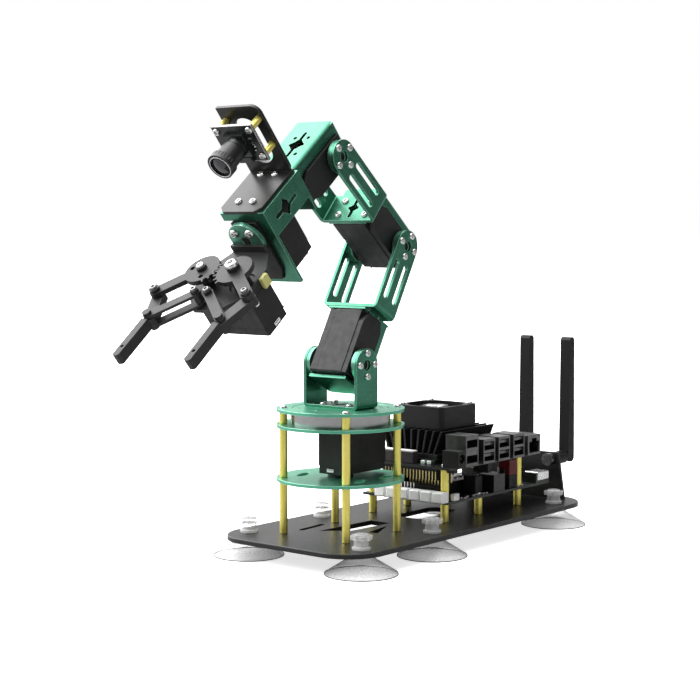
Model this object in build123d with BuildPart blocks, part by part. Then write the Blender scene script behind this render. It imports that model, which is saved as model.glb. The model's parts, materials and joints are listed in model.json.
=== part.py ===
from build123d import *
import math
import os

# ---------------------------------------------------------------- driving dimensions (mm)
# +Z is up, +X is the way the arm reaches, the yaw axis of the tower is X = 0, Y = 0.
# The whole model is moved along X by SHIFT_X so that its bounding box is centred on the origin.
SHIFT_X = 28.5

SHEET = 2.0              # folded bracket and tower disc thickness
GAP = 0.3                # running gap between pieces that move past each other
SHAFT_R = 3.0            # servo output shaft
SHAFT_FIT = 0.05         # radial clearance of a turning shaft
PIN_FIT = 0.4            # radial clearance around a shaft in a bracket hole
CUT = 1.0                # overshoot of a cutting tool past the face it opens
SCREW_HEAD_R = 2.3
SCREW_HEAD_H = 1.4
SCREW_SHANK_R = 1.2
SCREW_SHANK_L = 3.2
SCREW_HOLE_R = 1.3

# base plate and suction cups
PLATE_FRONT = 57.0
PLATE_BACK = -207.0
PLATE_HALF_W = 57.5
PLATE_CORNER_R = 25.0
PLATE_TOP = 14.5
PLATE_T = 3.0
CUP_XS = (35.3, -35.3, -176.7)
CUP_Y = 45.1
CUP_RIM_R = 22.2
CUP_NECK_R = 7.0
KNOB_STEM_R = 4.6
KNOB_CAP_R = 6.8
KNOB_H = 9.5
KNOB_CAP_H = 3.4
KNOB_NOTCHES = 10
KNOB_NOTCH_R = 0.8
KNOB_BORE_R = 3.65
KNOB_BORE_H = 3.2
CUP_HOLE_R = 4.0

# tower
DISC_R = 39.8
SHELF_TOP = 49.7
MIDDLE_TOP = 83.1
TOP_TOP = 93.0
PILLAR_R = 2.5
PILLAR_XY = 25.1
PILLAR_HOLE_R = 1.6
BEARING_R = 31.0
BEARING_BORE_R = 25.4
TURNTABLE_R = 29.5
TOP_HOLE_R = 30.0
RACE_R = 25.1
BASE_SERVO_Z = 66.0
HUB_R = 8.0
MIDDLE_HOLE_R = 18.0
DIMPLE_RING_R = 25.5
DIMPLE_R = 1.8
DIMPLE_D = 1.2
RUN = 0.4                # height of the running gaps under and over a turning piece

# servo case, measured from the output axis: length, half width and heights along the axis
SERVO_TAIL = -10.0
SERVO_NOSE = 33.5
SERVO_HALF_W = 10.0
SERVO_BACK = -14.0
SERVO_SEAM = -9.0
SERVO_FACE = 11.0
SERVO_DECK = 15.0
SERVO_BOSS = 16.2
SERVO_SHAFT_END = 19.0
SERVO_BOSS_R = 8.0
SERVO_CORNER = 7.0
SERVO_EDGE_R = 1.2
SERVO_INSET = 0.3
SERVO_SCREWS = [(-7.0, 7.0), (-7.0, -7.0), (30.5, 7.0), (30.5, -7.0)]
SERVO_SCREW_D = 1.5

# pitch joints
EAR_OUT = 21.3
EAR_HALF_W = 10.25
HORN_IN = 16.6
HORN_R = 10.0
HORN_SCREW_R = 7.2
WEB_AT = 35.0            # distance from a pitch axis to the web of the next fork
LINK = 82.85             # distance between neighbouring pitch axes
SLOT_W = 4.2
SLOT_Y = 4.8
SLOT_FROM = 44.0
SLOT_TO = 71.5
BEND_R = 2.0
WEB_POINTS = [(-5.5, 12.0), (5.5, 12.0), (5.5, -9.0), (-5.5, -9.0)]
WEB_CROSS = 8.0
CROSS_W = 2.6
POST_DROP = 27.4         # from the shoulder axis down to the fork web

SHOULDER_Z = 120.2
SHOULDER_TILT = 29.5     # upper arm leans back from vertical
ELBOW_TILT = -49.4       # forearm leans forward from vertical
WRIST_DIP = 40.0         # tool points below horizontal

# servo bracket around a pitch servo
CRADLE_BACK = -17.6
CRADLE_Y = (-16.0, 13.0)
CRADLE_TAIL = -12.5
CRADLE_NOSE = 33.6
CRADLE_STEP_X = 26.0
CRADLE_STEP_Y = (-10.3, -7.8)
CRADLE_TAIL_TOP = 6.0
CRADLE_CROSS = (10.0, 0.0)
CRADLE_CROSS_REACH = 12.0
CRADLE_HOLES = [(3.5, 5.2), (3.5, -5.2), (19.2, 5.2), (19.2, -5.2)]
CRADLE_HOLE_R = 1.4

# tool: distances from the wrist axis along the tool (v), across (Y) and above (w)
ROLL_W = 2.0
ROLL_SERVO_V = 61.0
ROLL_HORN_R = 12.0
ROLL_BACK_V = 35.0
ROLL_SIDE_Y = 17.6
ROLL_SIDE_LOW = 2.6
ROLL_REAR_LOW = 12.0
ROLL_FRONT_LOW = 36.5
ROLL_OPENING = [(-10.1, -20.0), (-10.1, 10.3), (25.5, 10.3), (33.0, 7.0), (33.0, -20.0)]
ROLL_CROSS = (-5.0, 6.0)
ROLL_CROSS_REACH = 11.0
CAMERA_PLATE_V = (37.0, 75.0)
CAMERA_HALF_W = 16.0
CAMERA_TOP_W = 66.0
PLATE_CORNER = 4.0
PLATE_TOP_R = 6.0
WINDOW_W = 42.0
WINDOW_LENGTH = 32.0
WINDOW_WIDTH = 18.0
BOARD_V = 47.0
LENS_W = 48.0
LENS_R = 7.0
LENS_RIM_R = 8.2
LENS_THREAD_R = 5.0
LENS_STEPS = (2.9, 8.5, 18.0, 23.0)   # thread, barrel, rim and front face ahead of the board
LENS_POCKET = 1.5
HOLDER_R = 6.8
HOLDER_HALF = 7.5
HOLDER_STEPS = (4.5, 8.0)
CAMERA_POST_R = 2.2
BOARD_HALF_Y = 15.5
BOARD_W = (35.5, 60.5)
BOARD_SOCKET = ((-5.0, 5.0), (36.0, 39.5), 4.0)

# gripper, in the same tool distances
PIVOT_O = (108.5, 12.5)
PIVOT_I = (127.0, 5.0)
ARM_LEN = 30.0
OPEN_ANGLE = 49.5
GEAR_ROOT_R = 11.3
GEAR_TIP_R = 13.4
ARM_W = (2.5, 5.5)
LINK_TOP_W = (2.5, 4.3)
LINK_LOW_W = (-4.6, -2.8)
KNUCKLE_W = (-2.5, 2.2)
FINGER_W = (-2.8, 4.0)
DECK_W = (-7.0, -5.0)
FINGER_TIP_V = 180.0
FINGER_HALF_T = 2.5
FINGER_HOLE_R = 1.1
FINGER_HOLE_V = 7.5      # from the tip
FINGER_TIP_CUT = 1.2
ARM_PIN_R = 2.0
ARM_PIN_HEAD_R = 3.2
LINK_PIN_R = 1.6
LINK_PIN_HEAD_R = 2.6
PIN_HEAD_END = 2.0       # top of a pin head above the bar it holds
PIN_PLAY = 0.05
KNUCKLE_R = 4.0
ARM_END_R = 3.8
LINK_END_R = 3.0
MOUNT_HALF_W = 13.0
DRIVE_HUB_R = 5.5
DRIVE_CAP_R = 4.0
DRIVE_CAP_H = 3.0

# electronics
STANDOFF_XS = (-70.0, -108.0, -155.0)
STANDOFF_Y = 29.5
DRIVER_X = (-187.0, -66.0)
DRIVER_HALF_W = 35.0
DRIVER_BOTTOM = 26.5
BOARD_T = 1.6
COMPUTER_X = (-162.0, -62.0)
COMPUTER_HALF_W = 39.5
COMPUTER_BOTTOM = 49.5
SPACER_R = 2.7
FAN_X = -100.0
FAN_HALF = 20.0
FAN_Z = (72.5, 87.0)
ANTENNA_BRACKET_X = -197.0
ANTENNA_YS = (-3.0, 31.0)
ANTENNA_PIVOT_X = -216.0
ANTENNA_Z = 42.0
ANTENNA_TOP = 127.0

os.makedirs("parts", exist_ok=True)


# ---------------------------------------------------------------- frames and small helpers
def at(x, y, z):
    return Vector(x + SHIFT_X, y, z)


def finish(piece, label):
    piece.part.label = label
    export_step(piece.part, "parts/" + label + ".step")


def pitch_frame(origin, tilt):
    """Plane with x along a link leaning back by tilt, y to its front, z along +Y."""
    lean = math.radians(tilt)
    return Plane(origin=origin, x_dir=(-math.sin(lean), 0, math.cos(lean)), z_dir=(0, 1, 0))


def block(plane, x, y, z, mode=Mode.ADD):
    with BuildSketch(plane.offset(z[0])) as profile:
        with Locations(((x[0] + x[1]) / 2, (y[0] + y[1]) / 2)):
            Rectangle(x[1] - x[0], y[1] - y[0])
    extrude(profile.sketch, amount=z[1] - z[0], dir=plane.z_dir, mode=mode)


def rod(plane, points, radius, z, mode=Mode.ADD):
    with BuildSketch(plane.offset(z[0])) as profile:
        with Locations(*points):
            Circle(radius)
    extrude(profile.sketch, amount=z[1] - z[0], dir=plane.z_dir, mode=mode)


def slab(plane, points, z, mode=Mode.ADD):
    with BuildSketch(plane.offset(z[0])) as profile:
        Polygon(*points, align=None)
    extrude(profile.sketch, amount=z[1] - z[0], dir=plane.z_dir, mode=mode)


def bar(plane, start, end, radius, z, mode=Mode.ADD):
    """Flat link with round ends between two points."""
    with BuildSketch(plane.offset(z[0])) as profile:
        with Locations(start, end):
            Circle(radius)
        make_hull()
    extrude(profile.sketch, amount=z[1] - z[0], dir=plane.z_dir, mode=mode)


def screws(plane, points):
    """Pan-head screws seated on the plane, shanks running below it."""
    rod(plane, points, SCREW_HEAD_R, (0, SCREW_HEAD_H))
    rod(plane, points, SCREW_SHANK_R, (-SCREW_SHANK_L, 0))


def circle_points(radius, count, centre=(0.0, 0.0), start=0.0):
    points = []
    for k in range(count):
        turn = math.radians(start + 360.0 * k / count)
        points.append((centre[0] + radius * math.cos(turn), centre[1] + radius * math.sin(turn)))
    return points


def cross_cut(plane, centre, reach, z):
    """Waisted cross of a lightening cutout, its long bar along x."""
    with BuildSketch(plane.offset(z[0])) as profile:
        with Locations(centre):
            SlotOverall(2 * reach, CROSS_W)
            SlotOverall(reach, CROSS_W, rotation=90)
            Rectangle(0.7 * reach, 0.7 * reach, rotation=45)
    extrude(profile.sketch, amount=z[1] - z[0], dir=plane.z_dir, mode=Mode.SUBTRACT)


# ---------------------------------------------------------------- shared piece shapes
def servo(frame, idler=True):
    """Bus servo: z of the frame is the output axis, x runs to the far end of the case."""
    mid = (SERVO_TAIL + SERVO_NOSE) / 2
    length = SERVO_NOSE - SERVO_TAIL
    with BuildPart() as case:
        with BuildSketch(frame.offset(SERVO_SEAM)) as body:
            with Locations((mid, 0)):
                RectangleRounded(length, 2 * SERVO_HALF_W, SERVO_EDGE_R)
        extrude(body.sketch, amount=SERVO_FACE - SERVO_SEAM, dir=frame.z_dir)
        with BuildSketch(frame.offset(SERVO_BACK)) as cover:
            with Locations((mid, 0)):
                RectangleRounded(
                    length - 2 * SERVO_INSET, 2 * (SERVO_HALF_W - SERVO_INSET), SERVO_EDGE_R
                )
        extrude(cover.sketch, amount=SERVO_SEAM - SERVO_BACK, dir=frame.z_dir)
        half = SERVO_HALF_W - SERVO_INSET
        nose = SERVO_NOSE - 1.0
        slope = nose - SERVO_CORNER
        deck = [
            (SERVO_TAIL + SERVO_INSET, -half), (slope, -half), (nose, SERVO_CORNER / 2 - half),
            (nose, half - SERVO_CORNER / 2), (slope, half), (SERVO_TAIL + SERVO_INSET, half),
        ]
        slab(frame, deck, (SERVO_FACE, SERVO_DECK))
        rod(frame, [(0, 0)], SERVO_BOSS_R, (SERVO_DECK, SERVO_BOSS))
        rod(frame, [(0, 0)], SHAFT_R, (SERVO_BOSS, SERVO_SHAFT_END))
        rod(frame, SERVO_SCREWS, SCREW_HOLE_R, (SERVO_BACK, SERVO_BACK + SERVO_SCREW_D), Mode.SUBTRACT)
        if idler:
            rod(frame, [(0, 0)], SERVO_BOSS_R, (-SERVO_BOSS, SERVO_BACK))
            rod(frame, [(0, 0)], SHAFT_R, (-SERVO_SHAFT_END, -SERVO_BOSS))
    return case


def horns(frame):
    """Driven disc and idler disc, screwed to the inside faces of a fork."""
    with BuildPart() as pair:
        for z in ((HORN_IN, EAR_OUT - SHEET), (SHEET - EAR_OUT, -HORN_IN)):
            rod(frame, [(0, 0)], HORN_R, z)
            rod(frame, [(0, 0)], SHAFT_R + SHAFT_FIT, z, Mode.SUBTRACT)
            rod(frame, circle_points(HORN_SCREW_R, 4), SCREW_HOLE_R, z, Mode.SUBTRACT)
    return pair


def folded_channel(plane, reach, across, run):
    """Sheet folded to a U: legs along x from the web at x = 0, spanning across in y."""
    half = SHEET / 2
    low, high = across
    with BuildSketch(plane.offset(run[0])) as profile:
        with BuildLine():
            FilletPolyline(
                (reach, low + half), (half, low + half), (half, high - half), (reach, high - half),
                radius=BEND_R,
            )
        trace(line_width=SHEET)
    extrude(profile.sketch, amount=run[1] - run[0], dir=plane.z_dir)


def fork(frame, web, pivot, slotted):
    """Two-eared fork: web across the link, ears reaching to the pivot axis."""
    side = Plane(origin=frame.from_local_coords((web, 0, 0)), x_dir=frame.x_dir, z_dir=frame.y_dir)
    end = Plane(origin=frame.from_local_coords((web, 0, 0)), x_dir=frame.y_dir, z_dir=frame.x_dir)
    through = (-EAR_OUT - CUT, EAR_OUT + CUT)
    slot_mid = (SLOT_FROM + SLOT_TO) / 2
    with BuildPart() as piece:
        folded_channel(side, pivot - web + EAR_HALF_W, (-EAR_OUT, EAR_OUT), (-EAR_HALF_W, EAR_HALF_W))
        with BuildSketch(frame.offset(through[0])) as outline:
            with Locations((pivot, 0)):
                Circle(EAR_HALF_W)
            with Locations(((web - 1 + pivot) / 2, 0)):
                Rectangle(pivot - web + 1, 2 * EAR_HALF_W)
        extrude(outline.sketch, amount=through[1] - through[0], dir=frame.z_dir, mode=Mode.INTERSECT)
        rod(frame, [(pivot, 0)], SHAFT_R + PIN_FIT, through, Mode.SUBTRACT)
        rod(frame, circle_points(HORN_SCREW_R, 4, (pivot, 0)), SCREW_HOLE_R, through, Mode.SUBTRACT)
        if slotted:
            with BuildSketch(frame.offset(through[0])) as slots:
                with Locations((slot_mid, SLOT_Y), (slot_mid, -SLOT_Y)):
                    SlotOverall(SLOT_TO - SLOT_FROM, SLOT_W)
            extrude(slots.sketch, amount=through[1] - through[0], dir=frame.z_dir, mode=Mode.SUBTRACT)
        rod(end, WEB_POINTS, SCREW_HOLE_R, (-CUT, SHEET + CUT), Mode.SUBTRACT)
        cross_cut(end, (0, 0), WEB_CROSS, (-CUT, SHEET + CUT))
    return piece


def fork_screws(frame, pivot):
    """Eight horn screws of a fork, four on each ear."""
    near = Plane(origin=frame.from_local_coords((pivot, 0, EAR_OUT)), x_dir=frame.x_dir, z_dir=frame.z_dir)
    far = Plane(origin=frame.from_local_coords((pivot, 0, -EAR_OUT)), x_dir=frame.x_dir, z_dir=-frame.z_dir)
    for ear in (near, far):
        screws(ear, circle_points(HORN_SCREW_R, 4))


def web_screws(frame):
    """Four screws joining the cradle end plate to the web of the next fork."""
    head = Plane(
        origin=frame.from_local_coords((WEB_AT + SHEET, 0, 0)), x_dir=frame.y_dir, z_dir=frame.x_dir
    )
    screws(head, WEB_POINTS)


def cradle(frame):
    """Servo cradle: back web, two side strips and folded end plates."""
    tail = frame.from_local_coords((CRADLE_TAIL, CRADLE_BACK, 0))
    section = Plane(origin=tail, x_dir=frame.y_dir, z_dir=frame.x_dir)
    end = Plane(origin=frame.origin, x_dir=frame.y_dir, z_dir=frame.x_dir)
    back = Plane(origin=frame.origin, x_dir=frame.x_dir, z_dir=frame.y_dir)
    low, high = CRADLE_Y
    near, far = CRADLE_STEP_Y
    outline = [
        (CRADLE_TAIL, CRADLE_BACK), (WEB_AT, CRADLE_BACK), (WEB_AT, far), (CRADLE_NOSE, far),
        (CRADLE_STEP_X, near), (CRADLE_TAIL, near),
    ]
    with BuildPart() as piece:
        folded_channel(section, -CRADLE_BACK, (low, high), (0, WEB_AT - CRADLE_TAIL))
        slab(frame, outline, (low - CUT, high + CUT), Mode.INTERSECT)
        block(frame, (CRADLE_NOSE, WEB_AT), (CRADLE_BACK + 1, SERVO_HALF_W), (low, high))
        tail_plate = (CRADLE_TAIL, CRADLE_TAIL + SHEET)
        block(frame, tail_plate, (CRADLE_BACK + 1, CRADLE_TAIL_TOP), (low, high))
        nose_cut = (CRADLE_NOSE - CUT / 2, WEB_AT + CUT)
        rod(end, WEB_POINTS, SCREW_HOLE_R, nose_cut, Mode.SUBTRACT)
        cross_cut(end, (0, 0), WEB_CROSS, nose_cut)
        back_cut = (CRADLE_BACK - CUT, CRADLE_BACK + SHEET + CUT)
        cross_cut(back, CRADLE_CROSS, CRADLE_CROSS_REACH, back_cut)
        rod(back, CRADLE_HOLES, CRADLE_HOLE_R, back_cut, Mode.SUBTRACT)
    return piece


# ---------------------------------------------------------------- base plate and feet
FLOOR = Plane(origin=at(0, 0, 0))
PLATE_MID = (PLATE_FRONT + PLATE_BACK) / 2
PILLARS = [(x, y) for x in (PILLAR_XY, -PILLAR_XY) for y in (PILLAR_XY, -PILLAR_XY)]
CUPS = [(x, y) for x in CUP_XS for y in (CUP_Y, -CUP_Y)]
STANDOFFS = [(x, y) for x in STANDOFF_XS for y in (STANDOFF_Y, -STANDOFF_Y)]
FAN_CORNERS = [(FAN_X + dx, dy) for dx in (16, -16) for dy in (16, -16)]
FRONT_CUTOUT = [(5, -13), (-45, -11), (-45, 5), (-8, 2)]
WEDGE_CUTOUT = [(-36, 9), (-30, 12), (-12, 20), (-10, 14)]
PLATE_EDGE = 0.4
CUP_SECTION = [
    (0, 4.2), (8, 3.8), (16, 1.8), (CUP_RIM_R - 0.8, 0), (CUP_RIM_R, 0), (CUP_RIM_R, 0.9),
    (15, 5.6), (CUP_NECK_R + 1, 9.0), (CUP_NECK_R, 11.5), (3.6, 11.5), (3.6, 17.5), (0, 17.5),
]

with BuildPart() as base_plate:
    with BuildSketch(FLOOR.offset(PLATE_TOP - PLATE_T)) as outline:
        with Locations((PLATE_MID, 0)):
            RectangleRounded(PLATE_FRONT - PLATE_BACK, 2 * PLATE_HALF_W, PLATE_CORNER_R)
        with Locations(*CUPS):
            Circle(CUP_HOLE_R, mode=Mode.SUBTRACT)
        with Locations(*PILLARS):
            Circle(PILLAR_HOLE_R, mode=Mode.SUBTRACT)
        with Locations(*STANDOFFS):
            Circle(SCREW_HOLE_R, mode=Mode.SUBTRACT)
        Polygon(*FRONT_CUTOUT, mode=Mode.SUBTRACT, align=None)
        with Locations((-2, -25)):
            SlotOverall(26, 4, rotation=5, mode=Mode.SUBTRACT)
        Polygon(*WEDGE_CUTOUT, mode=Mode.SUBTRACT, align=None)
        with Locations((-90, 0)):
            RectangleRounded(44, 22, 6, mode=Mode.SUBTRACT)
    extrude(outline.sketch, amount=PLATE_T)
    chamfer(base_plate.faces().sort_by(Axis.Z)[-1].outer_wire().edges(), PLATE_EDGE)
finish(base_plate, "base_plate")

with BuildPart() as suction_cups:
    for cup in CUPS:
        with BuildSketch(Plane(origin=at(cup[0], cup[1], 0), x_dir=(1, 0, 0), z_dir=(0, -1, 0))) as half:
            with BuildLine():
                Polyline(*CUP_SECTION, close=True)
            make_face()
        axis = Axis(at(cup[0], cup[1], 0), (0, 0, 1))
        revolve(half.sketch, axis=axis)
finish(suction_cups, "suction_cups")

with BuildPart() as cup_knobs:
    cap = (PLATE_TOP + KNOB_H - KNOB_CAP_H, PLATE_TOP + KNOB_H)
    rod(FLOOR, CUPS, KNOB_STEM_R + 1.2, (PLATE_TOP, PLATE_TOP + 2.0))
    rod(FLOOR, CUPS, KNOB_STEM_R, (PLATE_TOP + 2.0, cap[0]))
    rod(FLOOR, CUPS, KNOB_CAP_R, cap)
    for cup in CUPS:
        notches = circle_points(KNOB_CAP_R, KNOB_NOTCHES, cup)
        rod(FLOOR, notches, KNOB_NOTCH_R, (cap[0] - CUT, cap[1] + CUT), Mode.SUBTRACT)
    rod(FLOOR, CUPS, KNOB_BORE_R, (PLATE_TOP - CUT, PLATE_TOP + KNOB_BORE_H), Mode.SUBTRACT)
finish(cup_knobs, "cup_knobs")

# ---------------------------------------------------------------- tower
TOWER_SECTIONS = (
    (PLATE_TOP, SHELF_TOP - SHEET), (SHELF_TOP, MIDDLE_TOP - SHEET), (MIDDLE_TOP, TOP_TOP - SHEET),
)

SHELF_SLOTS = [(9, -23), (9, 23), (-14, -24), (-14, 24)]

with BuildPart() as tower_pillars:
    for section in TOWER_SECTIONS:
        rod(FLOOR, PILLARS, PILLAR_R, section)
        rod(FLOOR, PILLARS, SCREW_HOLE_R, section, Mode.SUBTRACT)
finish(tower_pillars, "tower_pillars")

with BuildPart() as lower_shelf:
    with BuildSketch(FLOOR.offset(SHELF_TOP - SHEET)) as outline:
        Circle(DISC_R)
        Circle(SERVO_BOSS_R - 2, mode=Mode.SUBTRACT)
        with Locations(*PILLARS):
            Circle(PILLAR_HOLE_R, mode=Mode.SUBTRACT)
        with Locations(*SHELF_SLOTS):
            Ellipse(8, 3, rotation=20, mode=Mode.SUBTRACT)
    extrude(outline.sketch, amount=SHEET)
finish(lower_shelf, "lower_shelf")

with BuildPart() as middle_disc:
    span = (MIDDLE_TOP - SHEET, MIDDLE_TOP)
    cut = (span[0] - CUT, span[1] + CUT)
    rod(FLOOR, [(0, 0)], DISC_R, span)
    rod(FLOOR, [(0, 0)], MIDDLE_HOLE_R, cut, Mode.SUBTRACT)
    rod(FLOOR, PILLARS, PILLAR_HOLE_R, cut, Mode.SUBTRACT)
finish(middle_disc, "middle_disc")

with BuildPart() as top_disc:
    span = (TOP_TOP - SHEET, TOP_TOP)
    cut = (span[0] - CUT, span[1] + CUT)
    rod(FLOOR, [(0, 0)], DISC_R, span)
    rod(FLOOR, [(0, 0)], TOP_HOLE_R, cut, Mode.SUBTRACT)
    rod(FLOOR, PILLARS, PILLAR_HOLE_R, cut, Mode.SUBTRACT)
finish(top_disc, "top_disc")

with BuildPart() as bearing_outer_race:
    rod(FLOOR, [(0, 0)], BEARING_R, (MIDDLE_TOP, TOP_TOP - SHEET))
    rod(FLOOR, [(0, 0)], BEARING_BORE_R, (MIDDLE_TOP - 1, TOP_TOP), Mode.SUBTRACT)
finish(bearing_outer_race, "bearing_outer_race")

BASE_SERVO = Plane(origin=at(0, 0, BASE_SERVO_Z), x_dir=(-1, 0, 0), z_dir=(0, 0, 1))
base_servo = servo(BASE_SERVO)
finish(base_servo, "base_servo")

with BuildPart() as base_screws:
    screws(FLOOR.offset(TOP_TOP), PILLARS)
    free_corners = [
        (STANDOFF_XS[0], STANDOFF_Y), (STANDOFF_XS[0], -STANDOFF_Y), (STANDOFF_XS[2], -STANDOFF_Y),
    ]
    screws(FLOOR.offset(COMPUTER_BOTTOM + BOARD_T), free_corners)
    middle_pair = [(STANDOFF_XS[1], STANDOFF_Y), (STANDOFF_XS[1], -STANDOFF_Y)]
    screws(FLOOR.offset(DRIVER_BOTTOM + BOARD_T), middle_pair)
    screws(FLOOR.offset(FAN_Z[1]), FAN_CORNERS)
finish(base_screws, "base_screws")

# ---------------------------------------------------------------- turntable and shoulder
WEB_Z = SHOULDER_Z - POST_DROP
HUB_BOTTOM = BASE_SERVO_Z + SERVO_BOSS + RUN
HUB_TOP = MIDDLE_TOP + 3 * RUN
HUB_BORE_TOP = BASE_SERVO_Z + SERVO_SHAFT_END + RUN
RIM_BOTTOM = TOP_TOP - SHEET + RUN

with BuildPart() as turntable:
    rod(FLOOR, [(0, 0)], HUB_R, (HUB_BOTTOM, HUB_TOP))
    rod(FLOOR, [(0, 0)], RACE_R, (HUB_TOP, RIM_BOTTOM))
    rod(FLOOR, [(0, 0)], TURNTABLE_R, (RIM_BOTTOM, WEB_Z))
    rod(FLOOR, [(0, 0)], SHAFT_R + SHAFT_FIT, (HUB_BOTTOM - CUT, HUB_BORE_TOP), Mode.SUBTRACT)
    dimples = circle_points(DIMPLE_RING_R, 8)
    rod(FLOOR, dimples, DIMPLE_R, (WEB_Z - DIMPLE_D, WEB_Z + CUT), Mode.SUBTRACT)
    rod(FLOOR, WEB_POINTS, SCREW_HOLE_R, (WEB_Z - SCREW_SHANK_L, WEB_Z + CUT), Mode.SUBTRACT)
finish(turntable, "turntable")

SHOULDER_POST = Plane(origin=at(0, 0, WEB_Z), x_dir=(0, 0, 1), z_dir=(0, 1, 0))
POST_PIVOT = SHOULDER_Z - WEB_Z
shoulder_bracket = fork(SHOULDER_POST, 0.0, POST_PIVOT, slotted=False)
finish(shoulder_bracket, "shoulder_bracket")

shoulder_horns = horns(Plane(origin=at(0, 0, SHOULDER_Z), x_dir=(0, 0, 1), z_dir=(0, 1, 0)))
finish(shoulder_horns, "shoulder_horns")

with BuildPart() as shoulder_screws:
    fork_screws(SHOULDER_POST, POST_PIVOT)
    post_web = Plane(origin=at(0, 0, WEB_Z + SHEET), x_dir=(1, 0, 0), z_dir=(0, 0, 1))
    screws(post_web, WEB_POINTS)
finish(shoulder_screws, "shoulder_screws")

# ---------------------------------------------------------------- upper arm
UPPER = pitch_frame(at(0, 0, SHOULDER_Z), SHOULDER_TILT)
ELBOW = UPPER.from_local_coords((LINK, 0, 0))

shoulder_servo = servo(UPPER)
finish(shoulder_servo, "shoulder_servo")

shoulder_servo_bracket = cradle(UPPER)
finish(shoulder_servo_bracket, "shoulder_servo_bracket")

upper_arm_bracket = fork(UPPER, WEB_AT, LINK, slotted=True)
finish(upper_arm_bracket, "upper_arm_bracket")

elbow_horns = horns(pitch_frame(ELBOW, SHOULDER_TILT))
finish(elbow_horns, "elbow_horns")

with BuildPart() as upper_arm_screws:
    fork_screws(UPPER, LINK)
    web_screws(UPPER)
finish(upper_arm_screws, "upper_arm_screws")

# ---------------------------------------------------------------- forearm
FOREARM = pitch_frame(ELBOW, ELBOW_TILT)
WRIST = FOREARM.from_local_coords((LINK, 0, 0))

elbow_servo = servo(FOREARM)
finish(elbow_servo, "elbow_servo")

elbow_servo_bracket = cradle(FOREARM)
finish(elbow_servo_bracket, "elbow_servo_bracket")

forearm_bracket = fork(FOREARM, WEB_AT, LINK, slotted=True)
finish(forearm_bracket, "forearm_bracket")

wrist_horns = horns(pitch_frame(WRIST, ELBOW_TILT))
finish(wrist_horns, "wrist_horns")

with BuildPart() as forearm_screws:
    fork_screws(FOREARM, LINK)
    web_screws(FOREARM)
finish(forearm_screws, "forearm_screws")

# ---------------------------------------------------------------- wrist
TOOL = pitch_frame(WRIST, -90.0 - WRIST_DIP)
DIP = math.radians(WRIST_DIP)
ALONG = Vector(math.cos(DIP), 0, -math.sin(DIP))
ABOVE = Vector(math.sin(DIP), 0, math.cos(DIP))
# hand: x along the tool, y along +Y, z above; face: x along -above, y along +Y, z along the tool
HAND = Plane(origin=WRIST, x_dir=ALONG, z_dir=ABOVE)
ROLL = Plane(origin=WRIST + ALONG * ROLL_SERVO_V + ABOVE * ROLL_W, x_dir=-ABOVE, z_dir=ALONG)

wrist_servo = servo(TOOL)
finish(wrist_servo, "wrist_servo")

wrist_servo_bracket = cradle(TOOL)
finish(wrist_servo_bracket, "wrist_servo_bracket")

roll_servo = servo(ROLL)
finish(roll_servo, "roll_servo")

ROLL_TOP = ROLL_W + CRADLE_BACK          # local x of the upper face of the roll bracket
ROLL_REAR = ROLL_BACK_V - ROLL_SERVO_V   # local z of its rear face
ROLL_Y = (-CAMERA_HALF_W, ROLL_SIDE_Y)
PLATE_LOW = -CRADLE_BACK
PLATE_HIGH = PLATE_LOW + SHEET
CAMERA_SCREWS = [(CAMERA_PLATE_V[0] + dv, y) for dv in (4, 29) for y in (5.5, -5.5)]
POST_POINTS = [(y, w) for y in (-12.5, 12.5) for w in (39.0, 57.0)]
TOOL_FACE = Plane(origin=WRIST, x_dir=(0, 1, 0), z_dir=ALONG)

with BuildPart() as roll_servo_bracket:
    depth = (ROLL_REAR, SERVO_FACE + SHEET)
    front = (SERVO_FACE, SERVO_FACE + SHEET)
    block(ROLL, (ROLL_TOP, ROLL_TOP + SHEET), ROLL_Y, depth)
    block(ROLL, (ROLL_TOP, ROLL_SIDE_LOW), (ROLL_SIDE_Y - SHEET, ROLL_SIDE_Y), depth)
    block(ROLL, (ROLL_TOP, ROLL_REAR_LOW), ROLL_Y, (ROLL_REAR, ROLL_REAR + SHEET))
    block(ROLL, (ROLL_TOP, ROLL_FRONT_LOW), ROLL_Y, front)
    slab(ROLL, ROLL_OPENING, (front[0] - CUT / 2, front[1] + CUT), Mode.SUBTRACT)
    side = Plane(origin=ROLL.origin, x_dir=ALONG, z_dir=(0, -1, 0))
    cross_cut(side, ROLL_CROSS, ROLL_CROSS_REACH, (-ROLL_SIDE_Y - CUT, SHEET - ROLL_SIDE_Y + CUT))
    rod(HAND, CAMERA_SCREWS, SCREW_HOLE_R, (PLATE_LOW - SHEET - CUT / 2, PLATE_LOW), Mode.SUBTRACT)
finish(roll_servo_bracket, "roll_servo_bracket")

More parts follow.
